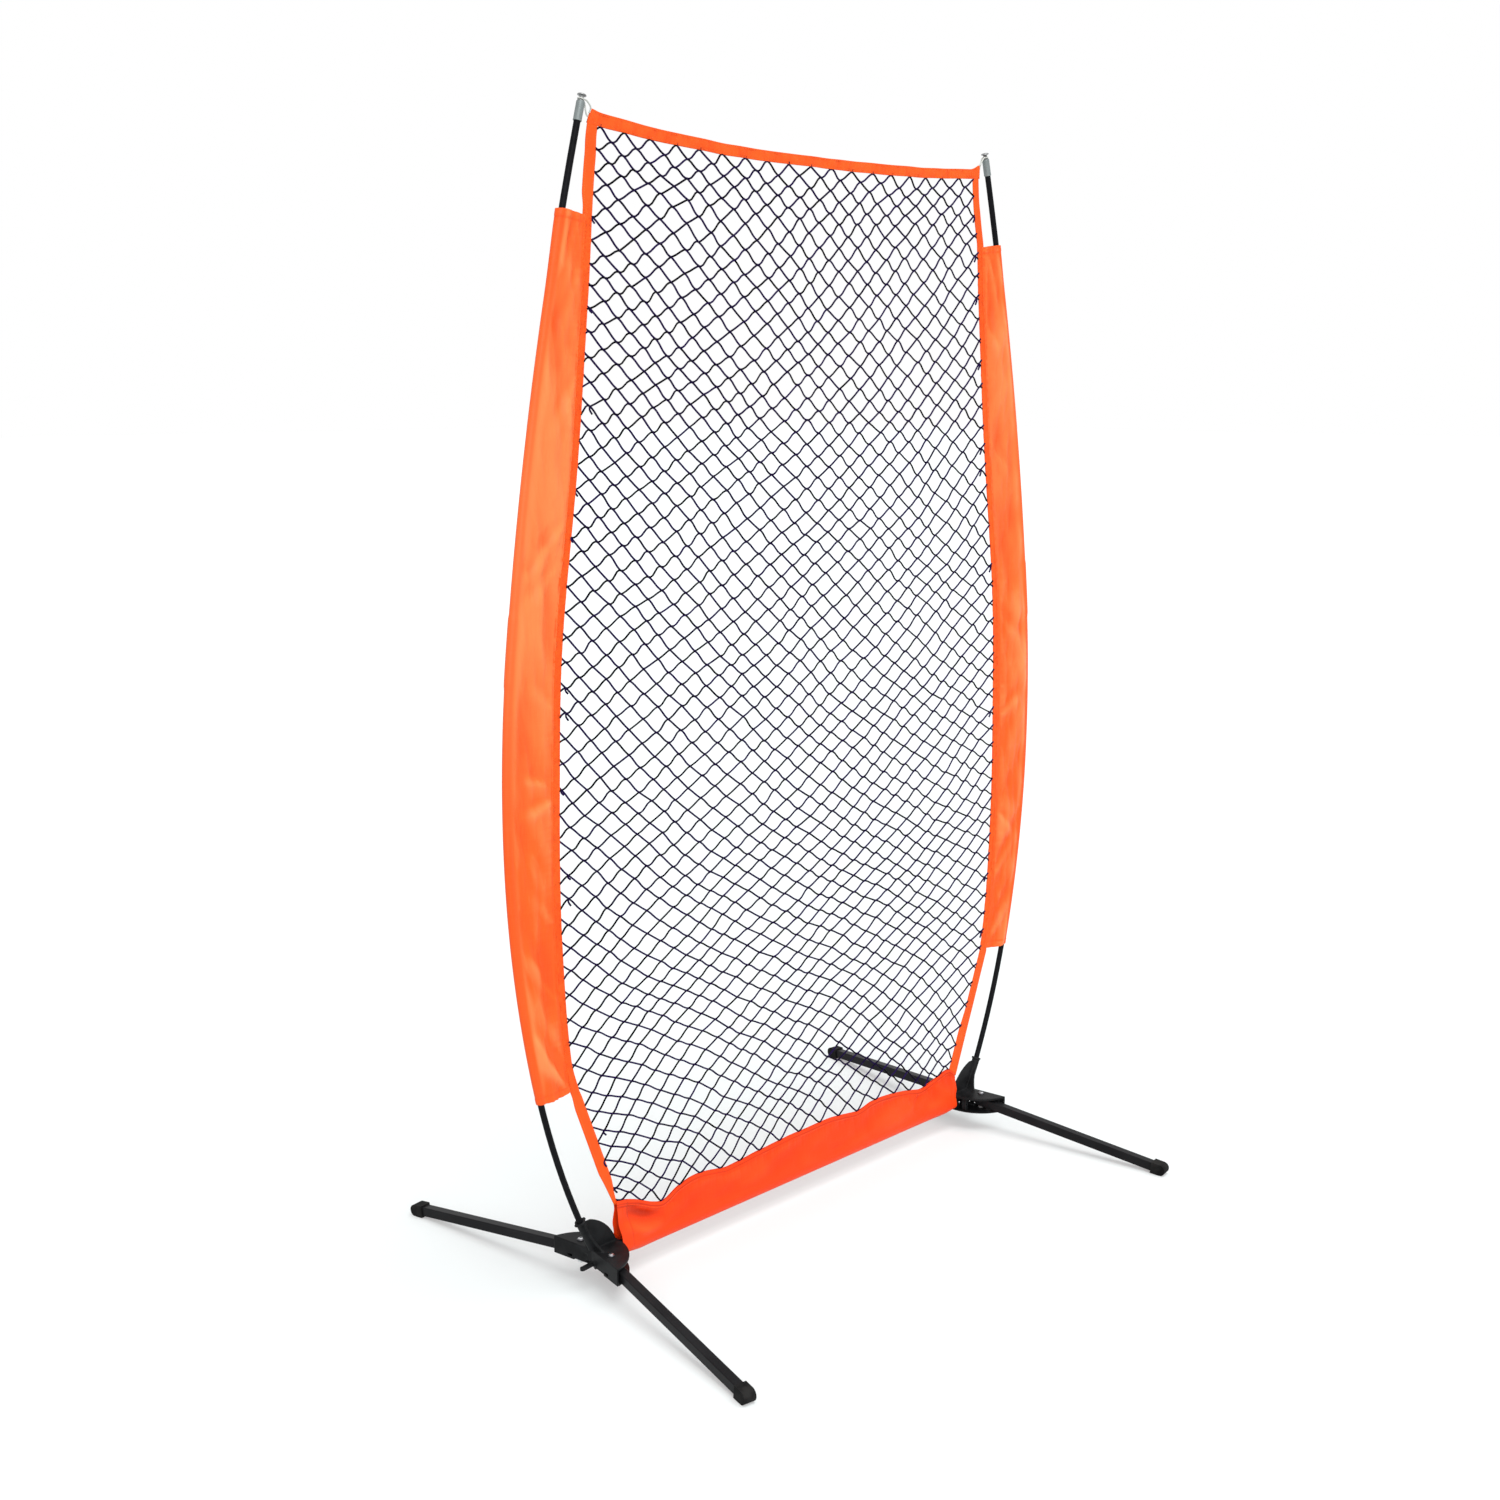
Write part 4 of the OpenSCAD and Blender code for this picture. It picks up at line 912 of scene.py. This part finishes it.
def side_tape(side, seed):
    """The tape that binds the net's side, from the bottom sleeve's corner to the top corner."""
    low, top = (.146, 2.0960) if side < 0 else (.119, 2.0925)
    z = np.concatenate([np.arange(low, top - .003, .0026), [top - .002, top - .0008, top]])
    line = joined(side * band_x(side, z), 0, z)
    out = joined(side * band_wide(side, z) / BAND_W, 0, 0)
    on = smooth((z - SLEEVE_LOW + .01) / .02) * smooth((SLEEVE_HIGH + .01 - z) / .02)

    def wrinkle(along, across):
        live = np.interp(along, along[:, 0], .25 + .75 * on)
        d = .00022 * ripples(across, along, .030, .0105, seed)
        d = d + .00012 * ripples(across, along, .02, .035, seed + 1)
        seam = .0005 * bell(across - ZIGZAG_AT, .0016)
        d = d + seam * live * (1 + .5 * ripples(0, along, 1, .009, seed + 2))
        for at in SIDE_ROWS:
            d = d - .00045 * bell(across - at, .0012)
        return d * live - .00015
    return tape(WORDS[side] + "_side_tape", line, out, BAND_W, .0015, wrinkle)


def top_tape():
    """The tape along the net's top, its ends slanting up to the corners."""
    x = np.linspace(*TOP_ENDS, 420)
    line = joined(x, 0, top_z(x) + .0002 * ripples(x, 0, .11, 1, 77))
    slant = .0100 * smooth((TOP_ENDS[0] + .030 - x) / .030) - .0016 * smooth((x - TOP_ENDS[1] + .02) / .02)
    out = joined(slant / TOP_W, 0, top_wide(x) / TOP_W)

    def wrinkle(along, across):
        d = .00025 * ripples(across, along, .03, .017, 50) + .0003 * ripples(across, along, .05, .06, 51)
        for at in TOP_ROWS:
            d = d - .00040 * bell(across - at, .0012)
        return d
    return tape("top_tape", line, out, TOP_W, .0019, wrinkle)


def bottom_sleeve():
    """The panel that hangs from the net, goes under the crossbar and comes up behind."""
    # U runs across from end to end, D down from the top edge to the crossbar's middle
    edge = np.concatenate([[0, .0012, .003], np.arange(.005, .018, .0022)])
    wide = HEM_FLAT[0]
    x_mid = np.arange(.021, wide - .019, .0029)
    run = np.concatenate([edge, x_mid, wide - edge[::-1]]) / wide
    drop = np.concatenate([[0, .012, .03, .055, .08, .10, .12, .14], np.linspace(.17, 1, 26)])
    turn = np.linspace(-math.pi / 2, math.pi / 2, 15)
    r, hang = BAR_R + .0014, .0060
    U, D = np.meshgrid(run, drop, indexing="ij")
    left_end = -.501 + .0055 * smooth((D - .45) / .35)
    right_end = .5035 - .0080 * smooth((D - .50) / .30)
    x = left_end + (right_end - left_end) * U
    top = hem_z(x)
    z = top + (BAR_Z - top) * D
    fall = top - z
    out = .0014 + (r - .0014) * D ** 1.1 + .0014 * bell(.5 - np.abs(x), .012) * (1 - D)
    left, right = smooth((-.395 - x) / .10), smooth((x - .40) / .10)
    still = smooth((fall - .002) / .018) * smooth((1 - D) / .30)
    sway = .0012 * ripples(x, z, .26, .12, 20)
    sway += sum(depth * valley(x, z, *trough) for depth, *trough in HEM_VALLEYS)
    sway *= still
    faces, lifts = [], []
    for seed, turned in ((21, -1), (33, 1)):
        d = .0006 * ripples(x, z, .24, .14, seed) + .0003 * ripples(x, z, .08, .10, seed + 1)
        d += .0005 * ripples(x, 0, .022, 1, seed + 2) * np.exp(-np.abs(fall - .013) / .012)
        d += .0003 * np.exp(-np.abs(ripples(x, z, .09, .05, seed + 3)) * 5)
        if turned < 0:
            d += .9 * sum(crease(x, z, *fold) for fold in HEM_FOLDS)
        free = smooth((fall - .002) / .016) * smooth((1 - D) / .25)
        flare = (.0045 * left + .0065 * right) * D * (1 if turned < 0 else .7)
        hem = .0007 * smooth((.0115 - fall) / .0012) + .0006 * (
            smooth((.0260 - (x - left_end)) / .0018) + smooth((.0165 - (right_end - x)) / .0018))
        d = np.maximum(d * free, -.6 * out)
        faces.append(out + flare + hem + d)
        # The lift paints light and shade: paler on swells, deeper in the dents and troughs, and painted shade
        # along the hem lines and the end hems
        lift = d * 150 + turned * sway * 130
        rows = ((fall - .0072, .0013, 1.0), (fall - .0125, .0015, 1.0 * left + .25),
                (x - left_end - .0275, .0013, .6), (right_end - x - .0172, .0012, .5))
        for gap, reach, deep in rows:
            lift = lift - deep * bell(gap, reach)
        lifts.append(lift)
    (front, back), (front_lift, back_lift) = faces, lifts
    # Under the crossbar the cloth hangs a little clear of it, but not at its two ends
    around = turn[None, 1:-1]
    round_x = x[:, -1:] + 0 * around
    mix = (1 + np.sin(around)) / 2
    round_y = np.sin(around) * (front[:, -1:] * (1 - mix) + back[:, -1:] * mix)
    sag = r + hang * smooth((round_x + .50) / .06) * smooth((.50 - round_x) / .04) + .0010
    round_z = BAR_Z - np.cos(around) * sag
    place = np.concatenate([joined(x, sway - front, z), joined(round_x, round_y, round_z),
                            joined(x, sway + back, z)[:, ::-1]], axis=1)
    lift = np.concatenate([front_lift, 0 * round_x, back_lift[:, ::-1]], axis=1)
    girth = run_along(place[len(run) // 2])
    flat = joined(girth, place[..., 0])
    mesh = grid_mesh("bottom_sleeve_cloth", place, flat, lift=lift)
    return cloth_wall(put("bottom_sleeve_cloth", mesh, RED_ORANGE), HEM_CLOTH)


def seam_lines():
    """Where the threads run, by piece: rows of stitches on both faces of the tapes and along the hems."""
    sides, tops, hems = [], [], []
    across = np.linspace(TOP_ENDS[0] + .012, TOP_ENDS[1] - .002, 200)
    below = np.linspace(-.492, .488, 300)
    for side in (-1, 1):
        z = np.arange(.162, 2.090 if side < 0 else 2.088, .006)
        for face in (-1, 1):
            for at in SIDE_ROWS:
                out = side * (band_x(side, z) + at * band_wide(side, z) / BAND_W)
                sides.append(joined(out, face * .00125, z))
    for face in (-1, 1):
        for at in TOP_ROWS:
            up = top_z(across) + at * top_wide(across) / TOP_W
            tops.append(joined(across, face * .00165, up))
        for at, y in HEM_ROWS:
            hems.append(joined(below, face * y, hem_z(below) - at))
    return {"side_seam_stitches": sides, "top_seam_stitches": tops, "bottom_seam_stitches": hems}


def zigzag(side):
    """The zigzag thread along the seam between a side tape and its sleeve."""
    z = np.arange(SLEEVE_LOW + .012, SLEEVE_HIGH - .006, .0024)
    swing = np.where(np.arange(len(z)) % 2, .0022, -.0022)
    out = side * (edge_x(z) + ZIGZAG_AT + swing)
    return [joined(out, face * .00185, z) for face in (-1, 1)]


# Where a corner loop's two ends come out of the tape: across, up
LOOP_ENDS = {-1: ((.5160, 2.1060), (.5226, 2.0965)), 1: ((.5142, 2.1015), (.5150, 2.0955))}


def corner_loop(side):
    """White elastic from the band's top corner, over the ferrule's rim, round the button's neck and back."""
    up = np.array([math.sin(TIP_A), 0, math.cos(TIP_A)])
    across = np.array([math.cos(TIP_A), 0, -math.sin(TIP_A)])
    height, reach = .0365, .0053
    neck = np.array([TIP[0], 0, TIP[1]]) + up * height
    ring = [neck + across * (reach * math.cos(a)) + np.array([0, reach * math.sin(a), 0])
            for a in np.linspace(math.radians(-125), math.radians(125), 13)]
    (ax, az), (bx, bz) = LOOP_ENDS[side]
    keys = [(ax + .003, -.0004, az - .006), (ax, -.0012, az), (ax + .0024, -.0032, az + .0050),
            neck + across * -.0098 + up * .0001 + [0, -.0036, 0]]
    keys += [ring[k] for k in (0, 3, 6, 9, 12)]
    keys += [neck + across * -.0100 + up * -.0030 + [0, .0024, 0], (bx + .0038, -.0006, bz + .0075),
             (bx, .0012, bz), (bx - .004, .0004, bz - .003)]
    keys, fine = np.array(keys), []
    for k in range(len(keys) - 1):
        a, b, c, d = keys[max(k - 1, 0)], keys[k], keys[k + 1], keys[min(k + 2, len(keys) - 1)]
        fine += [curved(a, b, c, d, t) for t in np.linspace(0, 1, 9)[:-1]]
    fine.append(keys[-1])
    return np.array(fine) * [side, 1, 1]


# ---------------------------------------------------------------- hard pieces
def softened(name, node):
    """A copy of a moulded node with its edges rounded, as moulding leaves them."""
    voxel, passes, triangles = .00085, 3, 120000
    mesh = worked(NODES[node].data.copy(), lambda w: bmesh.ops.remove_doubles(w, verts=w.verts, dist=1e-5))
    mesh.materials.clear()
    piece = put(name, mesh, PLASTIC)
    skin = piece.modifiers.new("skin", "REMESH")
    skin.mode, skin.voxel_size = "VOXEL", voxel
    ease = piece.modifiers.new("ease", "SMOOTH")
    ease.factor, ease.iterations = 0.5, passes
    settle(piece)
    less = piece.modifiers.new("less", "DECIMATE")
    less.ratio = min(1.0, triangles / (2 * max(1, len(piece.data.polygons))))
    settle(piece)
    piece.data.shade_smooth()
    return piece


def lathe(name, profile, place, material):
    """A turned piece: profile is (radius, height) from the bottom up, place takes it to where it stands."""
    profile = np.array(profile, float)
    steps = 40
    around = np.arange(steps) * TAU / steps
    reach, up = profile[:, 0:1], profile[:, 1:2]
    points = joined(reach * np.cos(around), reach * np.sin(around), up)
    flat = joined(around * reach.max(), points[..., 2])
    mesh = grid_mesh(name, points, flat, closed=True, caps=True)
    mesh.transform(place)
    return put(name, faces_out(mesh), material)


def rounded(points, radius):
    """The profile with the corners between its ends rounded."""
    points = [np.array(p, float) for p in points]
    made = [points[0]]
    for a, b, c in zip(points, points[1:], points[2:]):
        ia, ic = a - b, c - b
        la, lc = np.linalg.norm(ia), np.linalg.norm(ic)
        r = min(radius, la * .45, lc * .45)
        p, q = b + ia / la * r, b + ic / lc * r
        for t in (0, .5, 1):
            made.append((1 - t) ** 2 * p + 2 * t * (1 - t) * b + t * t * q)
    made.append(points[-1])
    return made


def tip_place(side):
    """Takes a turned piece to the top of a pole, along its lean."""
    turn = Matrix.Rotation(side * TIP_A, 4, "Y")
    return Matrix.Translation((side * TIP[0], 0, TIP[1])) @ turn


SLEEVE_TUBE = [(.00597, .0006), (.00597, 0), (.0075, 0), (.0075, .0016), (.0073, .0020),
               (.0073, .0312), (.0069, .0330), (.00597, .0330), (.00597, .032)]
BUTTON = [(.0004, .0285), (.0058, .0285), (.0058, .0331), (.0063, .0331), (.0063, .0341),
          (.0040, .0348), (.0036, .0372), (.0038, .0395), (.0052, .0416), (.0076, .0420),
          (.0080, .0428), (.0076, .0440), (.0058, .0450), (.0030, .0455), (.0004, .0456)]


# ---------------------------------------------------------------- the whole
def stands_in(piece, node):
    """Puts a piece of the frame in the place of a CAD node."""
    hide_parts(node)
    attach(piece, "frame")
    return piece


for piece in make_netting():
    stands_in(piece, "netting")

for side, folds, seed in ((-1, LEFT_FOLDS, 100), (1, RIGHT_FOLDS, 200)):
    word = WORDS[side]
    sleeve = stands_in(side_sleeve(side, folds, seed), word + "_side_sleeve")
    band = stands_in(side_tape(side, seed + 40), word + "_side_band")
    loop = grow(word + "_corner_loop", line_mesh("loop", [corner_loop(side)]), cord_group(ELASTIC),
                thickness=.0028, sides=12)
    stands_in(loop, word + "_corner_elastic")
    tube = lathe(word + "_ferrule_turned", rounded(SLEEVE_TUBE, .0005), tip_place(side), FERRULE)
    stands_in(tube, word + "_tip_ferrule")
    head = lathe(word + "_button_turned", rounded(BUTTON, .0006), tip_place(side), SILVER)
    stands_in(head, word + "_tip_button")
    stands_in(softened(word + "_hub_moulding", word + "_hub"), word + "_hub")

band = stands_in(top_tape(), "top_band")
hem = stands_in(bottom_sleeve(), "bottom_sleeve")

threads = [grow(name, line_mesh(name, lines), stitch_group(THREAD),
                pitch=.0042, stitch_length=.0033, thread=.0007) for name, lines in seam_lines().items()]
threads += [grow(word + "_zigzag_thread", line_mesh("zigzag", zigzag(side)), cord_group(THREAD),
                 thickness=.0006, sides=4) for side, word in WORDS.items()]
for sewn in threads:
    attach(sewn, "frame")

# The finish of every CAD node that still shows, by how its name ends
FINISHES = {
    "crossbar": TUBE, "crossbar_rivets": STEEL, "hub_base": PLATE, "base_screws": STEEL,
    "leg_bolts": BOLT, "leg_nuts": ZINC, "leg_washers": NYLON, "_leg": TUBE, "pivot_plug": NYLON,
    "_cap": RUBBER, "lock_lever": PLASTIC, "lever_pin": ZINC, "lower_pole": ROD, "upper_pole": ROD,
    "pole_joint": FERRULE, "shock_cord": ELASTIC}
for name, node in NODES.items():
    if node.hide_render:
        continue
    coat = next((m for end, m in FINISHES.items() if name.endswith(end)), PLASTIC)
    node.data.materials.clear()
    node.data.materials.append(coat)

# ---------------------------------------------------------------- floor, light and camera
def seen_directly(bench):
    """One where the eye, a reflection or clear material looks, and nought where light is only gathered."""
    rays = {wire.socket.name: wire for wire in bench.outputs("ShaderNodeLightPath")}
    return rays["Is Camera Ray"].most(rays["Is Glossy Ray"]).most(rays["Is Transmission Ray"])


far, sunk = 60, .0003
mesh = bpy.data.meshes.new("floor")
corners = [(x * far, y * far, -sunk) for x, y in ((-1, -1), (1, -1), (1, 1), (-1, 1))]
mesh.from_pydata(corners, [], [(0, 1, 2, 3)])
paint = bpy.data.materials.new("floor_white")
paint.use_nodes = True
paint.node_tree.nodes.clear()
b = Bench(paint.node_tree)
matt = b.add("ShaderNodeBsdfDiffuse", {"Color": (.57, .62, .62)})
lift = b.add("ShaderNodeEmission", {"Color": (1, .94, .94), "Strength": seen_directly(b) * 0.305})
b.add("ShaderNodeOutputMaterial", {"Surface": b.add("ShaderNodeAddShader", [matt, lift])})
floor = put("floor", mesh, paint)

world = bpy.data.worlds.new("studio")
bpy.context.scene.world = world
world.use_nodes = True
world.node_tree.nodes.clear()
b = Bench(world.node_tree)
fill = b.add("ShaderNodeBackground", {"Color": (1, 1, 1), "Strength": 0.60})
white = b.add("ShaderNodeBackground", {"Color": (1, 1, 1), "Strength": 1.0})
sky = b.add("ShaderNodeMixShader", [seen_directly(b), fill, white])
b.add("ShaderNodeOutputWorld", {"Surface": sky})


def lamp(name, aim, strength, spread):
    """A broad distant lamp that shines along aim; spread is its width in the sky, in degrees."""
    light = bpy.data.lights.new(name, "SUN")
    light.energy, light.angle = strength, math.radians(spread)
    piece = bpy.data.objects.new(name, light)
    piece.rotation_euler = Vector(aim).to_track_quat("-Z", "Y").to_euler()
    bpy.context.scene.collection.objects.link(piece)


lamp("overhead", (-.12, .27, -1.0), 1.90, 47)
lamp("front", (.50, .80, -.38), 1.55, 40)

camera_turn, camera_down = 44.415, 11.55
eye = bpy.data.cameras.new("camera")
eye.sensor_width, eye.lens = 36.0, 42.28
eye.clip_start, eye.clip_end = 0.05, 200
camera = bpy.data.objects.new("camera", eye)
camera.location = (-2.4768, -2.3798, 1.6504)
camera.rotation_euler = (math.radians(90 - camera_down), 0, math.radians(-camera_turn))
bpy.context.scene.collection.objects.link(camera)
bpy.context.scene.camera = camera
bpy.context.scene.view_settings.view_transform = "Standard"
